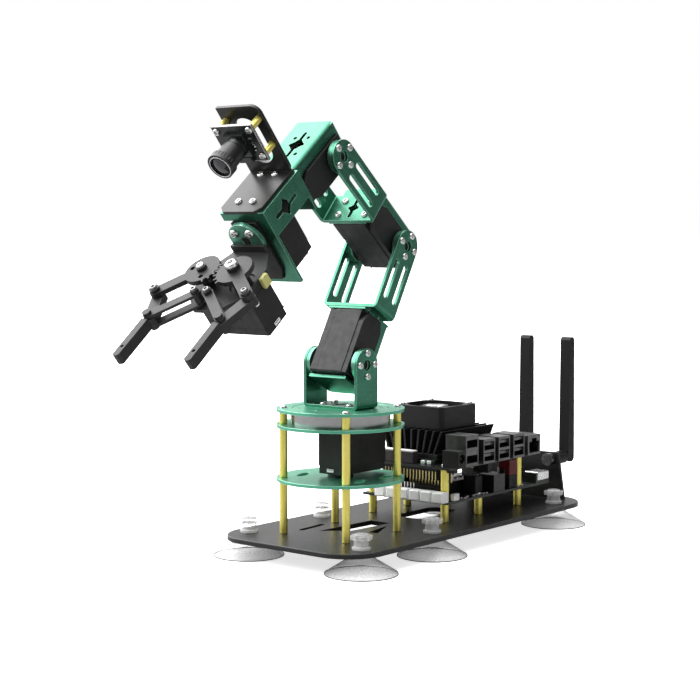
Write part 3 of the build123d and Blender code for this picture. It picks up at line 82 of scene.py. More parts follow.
# ---------------------------------------------------------------- materials
class Shade:
    """A Principled material and short names for the nodes that feed it."""

    def __init__(self, name, metallic=0.0, **sockets):
        self.material = bpy.data.materials.new(name)
        self.material.use_nodes = True
        self.nodes = self.material.node_tree.nodes
        self.links = self.material.node_tree.links
        self.shader = self.nodes["Principled BSDF"]
        self.shader.inputs["Metallic"].default_value = metallic
        for socket, value in sockets.items():
            self.shader.inputs[socket.replace("_", " ")].default_value = value

    def put(self, kind, **settings):
        node = self.nodes.new(kind)
        for name, value in settings.items():
            setattr(node, name, value)
        return node

    def wire(self, source, target):
        self.links.new(source, target)
        return target

    def coords(self, scale):
        spot = self.put("ShaderNodeTexCoord")
        stretch = self.put("ShaderNodeMapping")
        stretch.inputs["Scale"].default_value = scale if hasattr(scale, "__len__") else (scale,) * 3
        self.wire(spot.outputs["Object"], stretch.inputs["Vector"])
        return stretch.outputs["Vector"]

    def noise(self, scale, detail=3.0, rough=0.55):
        grain = self.put("ShaderNodeTexNoise")
        grain.inputs["Scale"].default_value = 1.0
        grain.inputs["Detail"].default_value = detail
        grain.inputs["Roughness"].default_value = rough
        self.wire(self.coords(scale), grain.inputs["Vector"])
        return grain.outputs["Fac"]

    def remap(self, value, low, high, start=0.3, end=0.7):
        band = self.put("ShaderNodeMapRange")
        band.inputs["From Min"].default_value = start
        band.inputs["From Max"].default_value = end
        band.inputs["To Min"].default_value = low
        band.inputs["To Max"].default_value = high
        self.wire(value, band.inputs["Value"])
        return band.outputs["Result"]

    def blend(self, factor, first, second):
        """Colour between first and second, each a colour or an output."""
        mix = self.put("ShaderNodeMix", data_type="RGBA")
        self.wire(factor, mix.inputs["Factor"])
        for socket, value in ((mix.inputs[6], first), (mix.inputs[7], second)):
            if hasattr(value, "links"):
                self.wire(value, socket)
            else:
                socket.default_value = (*value, 1.0)
        return mix.outputs[2]

    def edges(self, radius, sharp=6.0):
        """1 on edges and 0 on open faces, from a rounded normal against the flat one."""
        bevel = self.put("ShaderNodeBevel", samples=4)
        bevel.inputs["Radius"].default_value = radius
        flat = self.put("ShaderNodeNewGeometry")
        dot = self.put("ShaderNodeVectorMath", operation="DOT_PRODUCT")
        self.wire(bevel.outputs["Normal"], dot.inputs[0])
        self.wire(flat.outputs["Normal"], dot.inputs[1])
        return self.remap(dot.outputs["Value"], 1.0, 0.0, 1.0 - 1.0 / sharp, 0.995)

    def bump(self, height, strength, distance, rounding=0.0):
        lift = self.put("ShaderNodeBump")
        lift.inputs["Strength"].default_value = strength
        lift.inputs["Distance"].default_value = distance
        self.wire(height, lift.inputs["Height"])
        if rounding:
            bevel = self.put("ShaderNodeBevel", samples=4)
            bevel.inputs["Radius"].default_value = rounding
            self.wire(bevel.outputs["Normal"], lift.inputs["Normal"])
        self.wire(lift.outputs["Normal"], self.shader.inputs["Normal"])

    def colour(self, output):
        self.wire(output, self.shader.inputs["Base Color"])

    def roughness(self, output):
        self.wire(output, self.shader.inputs["Roughness"])


# Noise scales are waves per metre. A relief is the strength and the height, in metres, of a bump.
# Edge widths and roundings are in metres.
SHEET_TONE = 60
SHEET_EDGE = 0.0006
SHEET_RELIEF = (0.03, 0.0001)
ROLLED_GRAIN = (500, 3500, 500)
ROUNDED = 0.0004
FINELY_ROUNDED = 0.0002
TURNED_TONE = 150
TOOL_MARKS = (900, 900, 5000)
MARK_HEIGHT = 0.00008
CASE_TONE = 45
CASE_GLOSS = 220
CASE_GRAIN = 2600
CASE_GRAIN_HEIGHT = 0.0001
CASE_EDGE = 0.0007
WALL_BLEND = 0.35
WALL_SPAN = (0.25, 0.95)
HAZE_SCALE = 110
HAZE_SPAN = (0.92, 1.0)
HAZE_DIM = 0.8
RIPPLE_SCALE = 500
RIPPLE_RELIEF = (0.012, 0.0002)
TRACK_SCALE = 420
TRACK_WIDTH = (0.02, 0.09)
TRACK_RELIEF = (0.25, 0.0001)
SPECK_SCALE = 700
SPECK_SHARE = 0.35
COATING_SCALE = 300
POLISH_SCALE = 900
POLISH_RELIEF = (0.01, 0.00005)


def anodised(name, deep, bright, wear_and_highlight, metallic=0.9, gloss=(0.26, 0.4), shine=0.5):
    """Dyed or coated aluminium sheet: rolled grain, slight tone variation, and paler edges that are partly rubbed
    wear and partly painted highlight.
    """
    shade = Shade(name, metallic=metallic, Specular_IOR_Level=shine)
    cloud = shade.remap(shade.noise(SHEET_TONE), 0.0, 1.0)
    grain = shade.noise(ROLLED_GRAIN, 2.0)
    base = shade.blend(cloud, deep, bright)
    # Paler edges: partly rubbed wear, partly painted highlight.
    shade.colour(shade.blend(shade.edges(SHEET_EDGE), base, wear_and_highlight))
    shade.roughness(shade.remap(grain, *gloss))
    shade.bump(grain, *SHEET_RELIEF, rounding=ROUNDED)
    return shade.material


def turned_metal(name, deep, bright, low=0.18, high=0.34, metallic=1.0, depth=0.03):
    """Machined or plated metal with fine tool marks."""
    shade = Shade(name, metallic=metallic)
    marks = shade.noise(TOOL_MARKS, 3.0)
    shade.colour(shade.blend(shade.remap(shade.noise(TURNED_TONE), 0.0, 1.0), deep, bright))
    shade.roughness(shade.remap(marks, low, high))
    shade.bump(marks, depth, MARK_HEIGHT, rounding=FINELY_ROUNDED)
    return shade.material


def moulded(name, deep, bright, low=0.38, high=0.55, texture=0.15, edge=None, shine=0.3):
    """Moulded plastic: spark-eroded grain, faint tone changes, and lighter corners that are partly rubbed wear and
    partly painted highlight.
    """
    shade = Shade(name, Specular_IOR_Level=shine)
    tone = shade.blend(shade.remap(shade.noise(CASE_TONE), 0.0, 1.0), deep, bright)
    # Lighter corners: partly rubbed wear, partly painted highlight.
    if edge:
        tone = shade.blend(shade.edges(CASE_EDGE), tone, edge)
    shade.colour(tone)
    grain = shade.noise(CASE_GRAIN, 4.0, 0.6)
    shade.roughness(shade.remap(shade.noise(CASE_GLOSS), low, high))
    shade.bump(grain, texture, CASE_GRAIN_HEIGHT, rounding=ROUNDED)
    return shade.material


def clear(name, pale, dark, thin, thick):
    """Clear vinyl: nearly see-through face on and dense where the wall is seen edge on; its dark grey there is
    painted shade for the refraction at the wall.
    """
    shade = Shade(name, Roughness=0.12, IOR=1.46)
    facing = shade.put("ShaderNodeLayerWeight")
    facing.inputs["Blend"].default_value = WALL_BLEND
    edge = shade.remap(facing.outputs["Facing"], 0.0, 1.0, *WALL_SPAN)
    haze = shade.remap(shade.noise(HAZE_SCALE), *HAZE_SPAN)
    # Edge on the colour turns dark: painted shade for refraction.
    tone = shade.blend(edge, pale, dark)
    shade.colour(shade.blend(haze, tuple(HAZE_DIM * c for c in pale), tone))
    shade.bump(shade.noise(RIPPLE_SCALE), *RIPPLE_RELIEF)
    shade.wire(shade.remap(edge, thin, thick, 0.0, 1.0), shade.shader.inputs["Alpha"])
    return shade.material


def circuit(name, deep, trace):
    """Solder mask with fine raised tracks."""
    shade = Shade(name, Roughness=0.3)
    cells = shade.put("ShaderNodeTexVoronoi", feature="DISTANCE_TO_EDGE", distance="MANHATTAN")
    cells.inputs["Scale"].default_value = 1.0
    shade.wire(shade.coords(TRACK_SCALE), cells.inputs["Vector"])
    lines = shade.remap(cells.outputs["Distance"], 1.0, 0.0, *TRACK_WIDTH)
    tone = shade.blend(lines, deep, trace)
    shade.colour(shade.blend(shade.remap(shade.noise(SPECK_SCALE), 0.0, SPECK_SHARE), tone, trace))
    shade.bump(lines, *TRACK_RELIEF)
    return shade.material


def lens_glass():
    """Dark coated glass with faint polishing marks."""
    shade = Shade("lens_glass", Roughness=0.06, IOR=1.5, Coat_Weight=0.4)
    shade.colour(shade.blend(shade.noise(COATING_SCALE), (0.004, 0.004, 0.008), (0.012, 0.01, 0.02)))
    shade.bump(shade.noise(POLISH_SCALE), *POLISH_RELIEF)
    return shade.material


def grey(level):
    return (level, level, level)


# GREEN and DISC_GREEN are one anodised green in a darker and a lighter copy: painted shade on the brackets,
# painted light on the discs.
GREEN = anodised("green_anodised_sheet", (0.05, 0.19, 0.125), (0.07, 0.24, 0.16), (0.3, 0.6, 0.46))
DISC_GREEN = anodised("green_anodised_disc", (0.1, 0.42, 0.27), (0.14, 0.5, 0.33), (0.5, 0.9, 0.72), 0.8)
HORN_GREEN = anodised("green_anodised_horn", (0.1, 0.32, 0.21), (0.14, 0.38, 0.27), (0.6, 0.85, 0.74))
BLACK_SHEET = anodised("black_coated_sheet", grey(0.007), grey(0.012), grey(0.05), 0.0, (0.28, 0.4), 0.4)
GRIPPER_BLACK = anodised("gripper_black", grey(0.014), grey(0.022), grey(0.08), 0.0, (0.4, 0.52), 0.35)
BRASS = turned_metal("brass_plated", (0.86, 0.75, 0.17), (0.93, 0.82, 0.22), 0.27, 0.32, 0.75, 0.008)
GOLD = turned_metal("gold_plated_pin", (0.5, 0.42, 0.17), (0.62, 0.53, 0.25))
STEEL = turned_metal("bearing_steel", grey(0.34), grey(0.4), 0.2, 0.24, 1.0, 0.006)
SCREW = turned_metal("nickel_screw", grey(0.66), grey(0.8), 0.14, 0.28)
DARK_SCREW = turned_metal("blackened_screw", grey(0.16), grey(0.26), 0.2, 0.32)
# The port shells' plating is darkened to the shade on their fronts: painted shade.
PORT = turned_metal("plated_shell", grey(0.12), grey(0.2), 0.3, 0.42)
TIN = turned_metal("tinned_contact", grey(0.7), grey(0.85), 0.2, 0.32)
SERVO = moulded("servo_case", grey(0.009), grey(0.014), edge=grey(0.03))
SOCKET = moulded("socket_nylon", grey(0.9), grey(0.97), 0.4, 0.5, 0.1)
CHIP = moulded("chip_epoxy", grey(0.008), grey(0.014), 0.45, 0.6, 0.3)
MODULE = moulded(
    "module_shell", (0.022, 0.016, 0.02), (0.034, 0.026, 0.03), 0.4, 0.5, 0.2, (0.12, 0.1, 0.12)
)
LAMINATE = moulded("board_edge_laminate", (0.62, 0.6, 0.58), (0.74, 0.72, 0.7), 0.5, 0.6, 0.2)
RED = moulded("red_component", (0.11, 0.005, 0.008), (0.16, 0.008, 0.012), 0.35, 0.45, 0.1)
YELLOW = moulded("yellow_plug", (0.5, 0.47, 0.14), (0.62, 0.6, 0.26), 0.4, 0.5, 0.1)
FAN = moulded("fan_plastic", grey(0.008), grey(0.012), 0.36, 0.48, 0.15, grey(0.03), 0.25)
# The blades are lighter than the fan's frame: painted highlight inside the fan.
BLADE = moulded("fan_blade", grey(0.04), grey(0.06), 0.25, 0.35, 0.1, grey(0.1))
RUBBERY = moulded("antenna_sleeve", grey(0.005), grey(0.008), 0.4, 0.55, 0.15, grey(0.02), 0.2)
FIN = anodised("heat_sink_black", grey(0.006), grey(0.01), grey(0.04), 0.0, (0.34, 0.46), 0.3)
MASK = circuit("black_solder_mask", (0.004, 0.006, 0.005), (0.014, 0.02, 0.016))
# Both clear plastics turn dark edge on, painted shade; the knobs' near-white face-on tone is partly milky plastic
# and partly painted highlight.
CUP = clear("cup_vinyl", grey(0.68), grey(0.12), 0.28, 0.8)
KNOB = clear("knob_plastic", grey(0.92), grey(0.03), 0.32, 0.97)
# A dark ring on each cup rim: painted shade for refraction at the edge of the clear wall.
RIM_SHADE = moulded("cup_rim_shade", grey(0.05), grey(0.08), 0.2, 0.3, 0.05)
GLASS = lens_glass()

CAD_LOOKS = {
    "black_plate": BLACK_SHEET, "brass": BRASS, "green_anodised": GREEN, "bearing_steel": STEEL,
    "servo_black": SERVO, "screw_steel": SCREW, "circuit_board": MASK, "socket_white": SOCKET,
    "heat_sink_dark": FIN, "fan_black": FAN, "port_steel": PORT, "connector_black": CHIP,
    "antenna_black": RUBBERY, "turntable_aluminium": DISC_GREEN, "horn_aluminium": HORN_GREEN,
    "lens_black": BLACK_SHEET, "gripper_black": GRIPPER_BLACK, "clear_rubber": CUP, "clear_plastic": KNOB,
}
# The discs take the lighter copy of the anodised green: painted light.
NODE_LOOKS = {
    "lower_shelf": DISC_GREEN, "middle_disc": DISC_GREEN, "top_disc": DISC_GREEN, "fan_rotor": BLADE,
    "antenna_jacks": DARK_SCREW,
}

for node, piece in frame["nodes"].items():
    look = NODE_LOOKS.get(node, CAD_LOOKS[SLOT_OF[node]])
    piece.data.materials.clear()
    piece.data.materials.append(look)


# ---------------------------------------------------------------- stage, light and camera
def add_object(name, data):
    """A new object in the scene that shows the given data."""
    thing = bpy.data.objects.new(name, data)
    bpy.context.scene.collection.objects.link(thing)
    return thing


FLOOR_R = 40.0
FLOOR_SIDES = 64
FLOOR_SCALE = 30
PAPER_TONES = (grey(0.93), grey(0.95))
FLOOR_UNSEEN = grey(0.3)    # what light bounced off the floor carries
FLOOR_GLOW = 0.7


def floor():
    """Pale paper to the camera, and a darker floor to every other ray."""
    mesh = bmesh.new()
    bmesh.ops.create_circle(mesh, cap_ends=True, segments=FLOOR_SIDES, radius=FLOOR_R)
    data = bpy.data.meshes.new("studio_floor")
    mesh.to_mesh(data)
    mesh.free()
    shade = Shade("floor_paper", Roughness=0.9, Emission_Color=(1, 1, 1, 1))
    seen = shade.put("ShaderNodeLightPath").outputs["Is Camera Ray"]
    paper = shade.blend(shade.noise(FLOOR_SCALE), *PAPER_TONES)
    shade.colour(shade.blend(seen, FLOOR_UNSEEN, paper))
    shade.wire(shade.remap(seen, 0.0, FLOOR_GLOW, 0.0, 1.0), shade.shader.inputs["Emission Strength"])
    data.materials.append(shade.material)
    add_object("studio_floor", data)


def softbox(name, place, target, size, power):
    """A rectangular light that faces its target."""
    lamp = bpy.data.lights.new(name, "AREA")
    lamp.shape = "RECTANGLE"
    lamp.size, lamp.size_y = size
    lamp.energy = power
    box = add_object(name, lamp)
    box.location = place
    box.rotation_euler = (Vector(target) - Vector(place)).to_track_quat("-Z", "Y").to_euler()


BACKDROP_WAY = Vector((-0.775, -0.63, 0.05))
KEY_WAY = Vector((0.1, -0.63, 0.77))
DIM_LEVEL = 0.12
# Direction, the cosines where a lobe starts and where it is full, and its brightness.
LOBES = ((UP, 0.4, 0.95, 1.1), (BACKDROP_WAY, 0.3, 0.8, 0.9), (KEY_WAY, 0.55, 0.92, 6.0))


def maximum(tree, first, second):
    """Output that carries the larger of two values."""
    larger = tree.nodes.new("ShaderNodeMath")
    larger.operation = "MAXIMUM"
    tree.links.new(first, larger.inputs[0])
    tree.links.new(second, larger.inputs[1])
    return larger.outputs["Value"]


def lobe(tree, spot, way, start, end, strength):
    """Brightness that rises from the dim level to strength towards one direction."""
    dot = tree.nodes.new("ShaderNodeVectorMath")
    dot.operation = "DOT_PRODUCT"
    dot.inputs[1].default_value = way
    rise = tree.nodes.new("ShaderNodeMapRange")
    rise.inputs["From Min"].default_value = start
    rise.inputs["From Max"].default_value = end
    rise.inputs["To Min"].default_value = DIM_LEVEL
    rise.inputs["To Max"].default_value = strength
    tree.links.new(spot.outputs["Generated"], dot.inputs[0])
    tree.links.new(dot.outputs["Value"], rise.inputs["Value"])
    return rise.outputs["Result"]


def surroundings():
    """White to the camera; to reflections a bright backdrop and ceiling with darker sides."""
    world = bpy.data.worlds.new("studio")
    world.use_nodes = True
    bpy.context.scene.world = world
    tree = world.node_tree
    white = tree.nodes["Background"]
    white.inputs["Color"].default_value = (1, 1, 1, 1)
    rays = tree.nodes.new("ShaderNodeLightPath")
    spot = tree.nodes.new("ShaderNodeTexCoord")
    levels = [lobe(tree, spot, *row) for row in LOBES]
    brightest = levels[0]
    for other in levels[1:]:
        brightest = maximum(tree, brightest, other)
    mood = tree.nodes.new("ShaderNodeBackground")
    join = tree.nodes.new("ShaderNodeMixShader")
    tree.links.new(brightest, mood.inputs["Strength"])
    tree.links.new(rays.outputs["Is Camera Ray"], join.inputs["Fac"])
    tree.links.new(mood.outputs["Background"], join.inputs[1])
    tree.links.new(white.outputs["Background"], join.inputs[2])
    tree.links.new(join.outputs["Shader"], tree.nodes["World Output"].inputs["Surface"])


CAMERA_PLACE = Vector((0.80011, 0.63674, 0.20187))
CAMERA_PITCH = math.radians(-4.19)
CAMERA_HEADING = math.radians(219.19)
CAMERA_LENS = 83.28
CAMERA_FILM = 36.0
CAMERA_REACH = 100.0


def camera():
    """The photograph's point of view."""
    data = bpy.data.cameras.new("camera")
    data.lens = CAMERA_LENS
    data.sensor_width = CAMERA_FILM
    data.clip_end = CAMERA_REACH
    eye = add_object("camera", data)
    eye.location = CAMERA_PLACE
    eye.rotation_euler = (math.pi / 2 + CAMERA_PITCH, 0, CAMERA_HEADING - math.pi / 2)
    bpy.context.scene.camera = eye


# Name, place, target, size and power of each softbox.
SOFTBOXES = (
    ("overhead", (0.1, 0.0, 1.5), (0.0, 0.0, 0.1), (1.6, 1.6), 16),
    ("front_left", (1.3, -0.8, 1.1), (0.0, 0.0, 0.15), (0.9, 1.2), 9),
    ("front_right", (0.3, 1.6, 0.7), (0.0, 0.0, 0.15), (0.8, 1.0), 2.5),
)

floor()
surroundings()
camera()
for row in SOFTBOXES:
    softbox(*row)
bpy.context.scene.view_settings.view_transform = "Standard"


# ---------------------------------------------------------------- mesh helpers, in millimetres
BEVEL_ANGLE = math.radians(40)


def new_piece(name, mesh, node, look, bevel=0.0, replaces=False, smooth=35.0):
    """Turns a bmesh in millimetres into an object that rides with a CAD node's body."""
    mesh.transform(Matrix.Scale(MM, 4))
    bmesh.ops.recalc_face_normals(mesh, faces=mesh.faces)
    for edge in mesh.edges:
        edge.smooth = len(edge.link_faces) == 2 and edge.calc_face_angle(0.0) < math.radians(smooth)
    for face in mesh.faces:
        face.smooth = True
    data = bpy.data.meshes.new(name)
    mesh.to_mesh(data)
    mesh.free()
    data.materials.append(look)
    piece = add_object(name, data)
    if bevel:
        rounding = piece.modifiers.new("rounding", "BEVEL")
        rounding.width = bevel * MM
        rounding.segments = 2
        rounding.limit_method = "ANGLE"
        rounding.angle_limit = BEVEL_ANGLE
    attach(piece, BODY_OF[node])
    if replaces:
        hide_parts(node)
    return piece


def prism(mesh, outline, z, place):
    """Outline points (x, y) extruded between two heights, in the frame of a place."""
    low = [mesh.verts.new((x, y, z[0])) for x, y in outline]
    high = [mesh.verts.new((x, y, z[1])) for x, y in outline]
    count = len(outline)
    mesh.faces.new(list(reversed(low)))
    mesh.faces.new(high)
    for k in range(count):
        n = (k + 1) % count
        mesh.faces.new((low[k], low[n], high[n], high[k]))
    bmesh.ops.transform(mesh, matrix=place, verts=low + high)


def block(mesh, x, y, z, place):
    prism(mesh, [(x[0], y[0]), (x[1], y[0]), (x[1], y[1]), (x[0], y[1])], z, place)


def boxes(name, node, look, spans, place, bevel=0.0):
    """One piece made of boxes, each given by its x, y and z spans."""
    mesh = bmesh.new()
    for x, y, z in spans:
        block(mesh, x, y, z, place)
    new_piece(name, mesh, node, look, bevel=bevel)


def ring_points(radius, count):
    turns = [2 * math.pi * k / count for k in range(count)]
    return [(radius * math.cos(turn), radius * math.sin(turn)) for turn in turns]


def turned(mesh, profile, steps, place):
    """Profile points (radius, height) spun about a place's z; radius 0 closes the end."""
    rings = []
    for radius, height in profile:
        if radius == 0:
            rings.append([mesh.verts.new((0, 0, height))])
        else:
            rings.append([mesh.verts.new((x, y, height)) for x, y in ring_points(radius, steps)])
    for first, second in zip(rings, rings[1:]):
        for k in range(steps):
            n = (k + 1) % steps
            corners = [first[k % len(first)], first[n % len(first)], second[n % len(second)],
                       second[k % len(second)]]
            unique = list(dict.fromkeys(corners))
            if len(unique) > 2:
                mesh.faces.new(unique)
    bmesh.ops.transform(mesh, matrix=place, verts=[vert for ring in rings for vert in ring])


# ---------------------------------------------------------------- screws
def loose_parts(data):
    """Vertex index groups of the separate solids in a CAD mesh."""
    home = list(range(len(data.vertices)))

    def root(k):
        while home[k] != k:
            home[k] = home[home[k]]
            k = home[k]
        return k

    spots = {}
    for vert in data.vertices:
        key = tuple(round(c, SAME_POINT_DIGITS) for c in vert.co)
        home[root(vert.index)] = root(spots.setdefault(key, vert.index))
    for edge in data.edges:
        home[root(edge.vertices[0])] = root(edge.vertices[1])
    groups = {}
    for vert in data.vertices:
        groups.setdefault(root(vert.index), []).append(vert.index)
    return groups


HEAD_R = 2.3
HEAD_H = 1.4
SHANK_R = 1.2
SHANK_END = -3.0
RECESS_FLOOR = HEAD_H - 0.75
LEVEL_SLACK = 1e-5
SAME_POINT_DIGITS = 6
# Recess, dome and shank of a screw as (radius, height) points above its seat.
SCREW_SECTION = [
    (0, RECESS_FLOOR), (1.0, RECESS_FLOOR), (1.05, HEAD_H - 0.02), (1.35, HEAD_H), (1.8, HEAD_H - 0.12),
    (2.15, HEAD_H - 0.45), (HEAD_R, HEAD_H - 0.95), (HEAD_R, 0), (SHANK_R, 0), (SHANK_R, SHANK_END),
    (0, SHANK_END),
]
SCREW_STEPS = 18


def face_weight(face, others):
    """How much of a solid's surface faces the same way as one face."""
    return sum(other.area * face.normal.dot(other.normal) ** 2 for other in others)


def spread(points, axis, centre, height):
    """Radius about the axis of the points at one height."""
    level = [point for point in points if abs(axis.dot(point) - height) < LEVEL_SLACK]
    return max(((point - centre) - axis * axis.dot(point - centre)).length for point in level)


def screw_places(node):
    """Head seat and outward direction of each screw in a CAD node of screws."""
    data = frame["nodes"][node].data
    groups = loose_parts(data)
    owner = {index: name for name, group in groups.items() for index in group}
    faces = {name: [] for name in groups}
    for polygon in data.polygons:
        faces[owner[polygon.vertices[0]]].append(polygon)
    places = []
    for name, group in groups.items():
        axis = max(faces[name], key=lambda face: face_weight(face, faces[name])).normal.copy()
        points = [data.vertices[k].co for k in group]
        heights = [axis.dot(point) for point in points]
        top = max(heights)
        bottom = min(heights)
        centre = sum(points, Vector()) / len(points)
        wide_top = spread(points, axis, centre, top)
        wide_bottom = spread(points, axis, centre, bottom)
        if wide_bottom > wide_top:
            axis, top = -axis, -bottom
        seat = top - HEAD_H * MM
        places.append((centre + axis * (seat - axis.dot(centre)), axis))
    return places


def screws(node):
    """The screws of a CAD node, drawn again with domed heads."""
    mesh = bmesh.new()
    for seat, axis in screw_places(node):
        start = axis.orthogonal().normalized()
        turned(mesh, SCREW_SECTION, SCREW_STEPS, placed(seat / MM, start, axis))
    new_piece(node + "_domed", mesh, node, SCREW, replaces=True)


def screw_row(name, node, look, places, size=1.0):
    mesh = bmesh.new()
    for place in places:
        turned(mesh, SCREW_SECTION, SCREW_STEPS, place @ Matrix.Scale(size, 4))
    new_piece(name, mesh, node, look)


for screw_node in ("base_screws", "shoulder_screws", "upper_arm_screws", "forearm_screws", "wrist_screws"):
    screws(screw_node)

# ---------------------------------------------------------------- suction cups and knobs
# Local shapes are in millimetres from here on.
PLATE_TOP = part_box("base_plate")[1].z / MM
KNOB_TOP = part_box("cup_knobs")[1].z / MM
CUP_RIM_R = 22.2
CUP_STEP = 70.6
CUP_LOW, CUP_HIGH = (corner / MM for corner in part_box("suction_cups"))
CUP_XS = (CUP_HIGH.x - CUP_RIM_R, CUP_HIGH.x - CUP_RIM_R - CUP_STEP, CUP_LOW.x + CUP_RIM_R)
CUP_Y = CUP_HIGH.y - CUP_RIM_R
CUP_SPOTS = [Matrix.Translation((x, y, 0)) for x in CUP_XS for y in (CUP_Y, -CUP_Y)]
CUP_STEPS = 64
# Sections are (radius, height) points from the axis round to the axis again.
CUP_SECTION = [
    (0, 4.2), (8, 3.7), (16, 1.7), (21.2, 0.1), (21.9, 0.0), (22.1, 0.4), (22.0, 0.9), (21.2, 1.3),
    (18, 3.3), (15, 5.2), (11.5, 7.4), (8.4, 9.4), (7.4, 10.2), (7.0, 11.3), (3.5, 11.4), (3.5, 17.3),
    (0, 17.4),
]
# Section of the dark ring on each cup rim: painted shade.
RIM_SHADE_SECTION = [(21.9, 0.05), (22.18, 0.1), (22.18, 0.5), (21.9, 0.55), (21.9, 0.05)]
CAP_LOW = KNOB_TOP - 3.4
CAP_HIGH = KNOB_TOP - 0.8
CAP_R = 6.75
CAP_DIP = 1.1
CAP_LOBES = 8
CAP_STEPS = 96
KNOB_STEPS = 32
COLLAR_SECTION = [
    (0, PLATE_TOP), (5.8, PLATE_TOP), (5.8, PLATE_TOP + 1.6), (4.7, PLATE_TOP + 2.2), (4.4, CAP_LOW),
    (0, CAP_LOW),
]
BUTTON_SECTION = [(0, CAP_HIGH), (4.6, CAP_HIGH), (4.2, KNOB_TOP), (0, KNOB_TOP)]


def lobed_points(radius, dip, lobes, steps):
    """Points of a round outline with finger dips between its lobes."""
    outline = []
    for k in range(steps):
        turn = 2 * math.pi * k / steps
        reach = radius - dip * (0.5 - 0.5 * math.cos(lobes * turn)) ** 2
        outline.append((reach * math.cos(turn), reach * math.sin(turn)))
    return outline


def feet():
    """The six cups, the lobed knobs that hold them, and a dark ring round each rim that is painted shade for
    refraction at the cup's edge.
    """
    cups = bmesh.new()
    knobs = bmesh.new()
    rim_shade_mesh = bmesh.new()
    cap = lobed_points(CAP_R, CAP_DIP, CAP_LOBES, CAP_STEPS)
    for spot in CUP_SPOTS:
        turned(cups, CUP_SECTION, CUP_STEPS, spot)
        turned(knobs, COLLAR_SECTION, KNOB_STEPS, spot)
        prism(knobs, cap, (CAP_LOW, CAP_HIGH), spot)
        turned(knobs, BUTTON_SECTION, KNOB_STEPS, spot)
        turned(rim_shade_mesh, RIM_SHADE_SECTION, CUP_STEPS, spot)
    new_piece("suction_cups_moulded", cups, "suction_cups", CUP, replaces=True, smooth=50)
    new_piece("cup_knobs_lobed", knobs, "cup_knobs", KNOB, bevel=0.25, replaces=True)
    new_piece("suction_cup_rim_shade", rim_shade_mesh, "suction_cups", RIM_SHADE)


feet()

# ---------------------------------------------------------------- brass pillars and standoffs
BASE = Matrix.Translation((YAW.x / MM, YAW.y / MM, 0))
PILLAR_XY = 25.1
PILLAR_R = 2.5
PILLAR_SPOTS = [(x, y) for x in (PILLAR_XY, -PILLAR_XY) for y in (PILLAR_XY, -PILLAR_XY)]
STANDOFF_XS = (-70.0, -108.0, -155.0)
STANDOFF_Y = 29.5
STANDOFF_R = 2.7
STANDOFF_SPOTS = [(x, y) for x in STANDOFF_XS for y in (STANDOFF_Y, -STANDOFF_Y)]
SPACER_SPOTS = [(x, y) for x in (STANDOFF_XS[0], STANDOFF_XS[2]) for y in (STANDOFF_Y, -STANDOFF_Y)]
POST_CHAMFER = 0.25
POST_STEPS = 40


def heights(node):
    """Bottom and top of a node's box, in millimetres."""
    low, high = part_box(node)
    return low.z / MM, high.z / MM


def round_posts(node, spots, radius, sections):
    """Turned posts with chamfered ends, one at each spot for each section (low, high)."""
    mesh = bmesh.new()
    inner = radius - POST_CHAMFER
    for low, high in sections:
        outline = [(0, low), (inner, low), (radius, low + POST_CHAMFER), (radius, high - POST_CHAMFER),
                   (inner, high), (0, high)]
        for x, y in spots:
            turned(mesh, outline, POST_STEPS, BASE @ Matrix.Translation((x, y, 0)))
    new_piece(node + "_turned", mesh, node, BRASS, replaces=True)


SHELF = heights("lower_shelf")
MIDDLE = heights("middle_disc")
TOP = heights("top_disc")
STOREYS = [(PLATE_TOP, SHELF[0]), (SHELF[1], MIDDLE[0]), (MIDDLE[1], TOP[0])]
round_posts("tower_pillars", PILLAR_SPOTS, PILLAR_R, STOREYS)
round_posts("short_standoffs", STANDOFF_SPOTS, STANDOFF_R, [heights("short_standoffs")])
round_posts("tall_spacers", SPACER_SPOTS, STANDOFF_R, [heights("tall_spacers")])

# ---------------------------------------------------------------- servo details
ROLL_POINT = Vector(JOINTS["gripper_roll"]["pos_m"])
ROLL_HEIGHT = ABOVE.dot(ROLL_POINT - WRIST)
GRIP_PIVOT = Vector(JOINTS["gripper_drive"]["pos_m"])
SERVO_SHAFT_END = 19.0
ROLL_SERVO_V = 0.061
BASE_SERVO_POINT = Vector((YAW.x, YAW.y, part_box("base_servo")[1].z - SERVO_SHAFT_END * MM))
GRIP_SERVO_W = -0.022


def tool(v, y, w):
    """Matrix of the hand in millimetres: x along the tool, z above it, moved to (v, y, w)."""
    return placed(WRIST / MM, ALONG, ABOVE) @ Matrix.Translation((v, y, w))


HAND = tool(0, 0, 0)
GRIP_SERVO_POINT = HAND.inverted() @ (GRIP_PIVOT / MM)
SERVO_FRAMES = {
    "base_servo": placed(BASE_SERVO_POINT / MM, (-1, 0, 0), UP),
    "shoulder_servo": placed(SHOULDER / MM, ELBOW - SHOULDER, SIDE),
    "elbow_servo": placed(ELBOW / MM, WRIST - ELBOW, SIDE),
    "wrist_servo": placed(WRIST / MM, ALONG, SIDE),
    "roll_servo": placed((WRIST + ALONG * ROLL_SERVO_V + ABOVE * ROLL_HEIGHT) / MM, -ABOVE, ALONG),
    "gripper_servo": placed(
        tool(GRIP_SERVO_POINT.x, GRIP_SERVO_POINT.y, GRIP_SERVO_W / MM).translation, -SIDE, ABOVE
    ),
}
SERVO_BACK = -14.0
SERVO_SEAM = -9.0
SERVO_DECK_Z = 11.0
SERVO_TAIL = -10.0
SERVO_NOSE = 33.5
SERVO_HALF_W = 10.0
COVER_SCREWS = [(-7.0, 7.0), (-7.0, -7.0), (30.5, 7.0), (30.5, -7.0)]
COVER_SCREW_SEAT = SERVO_BACK + 1.3
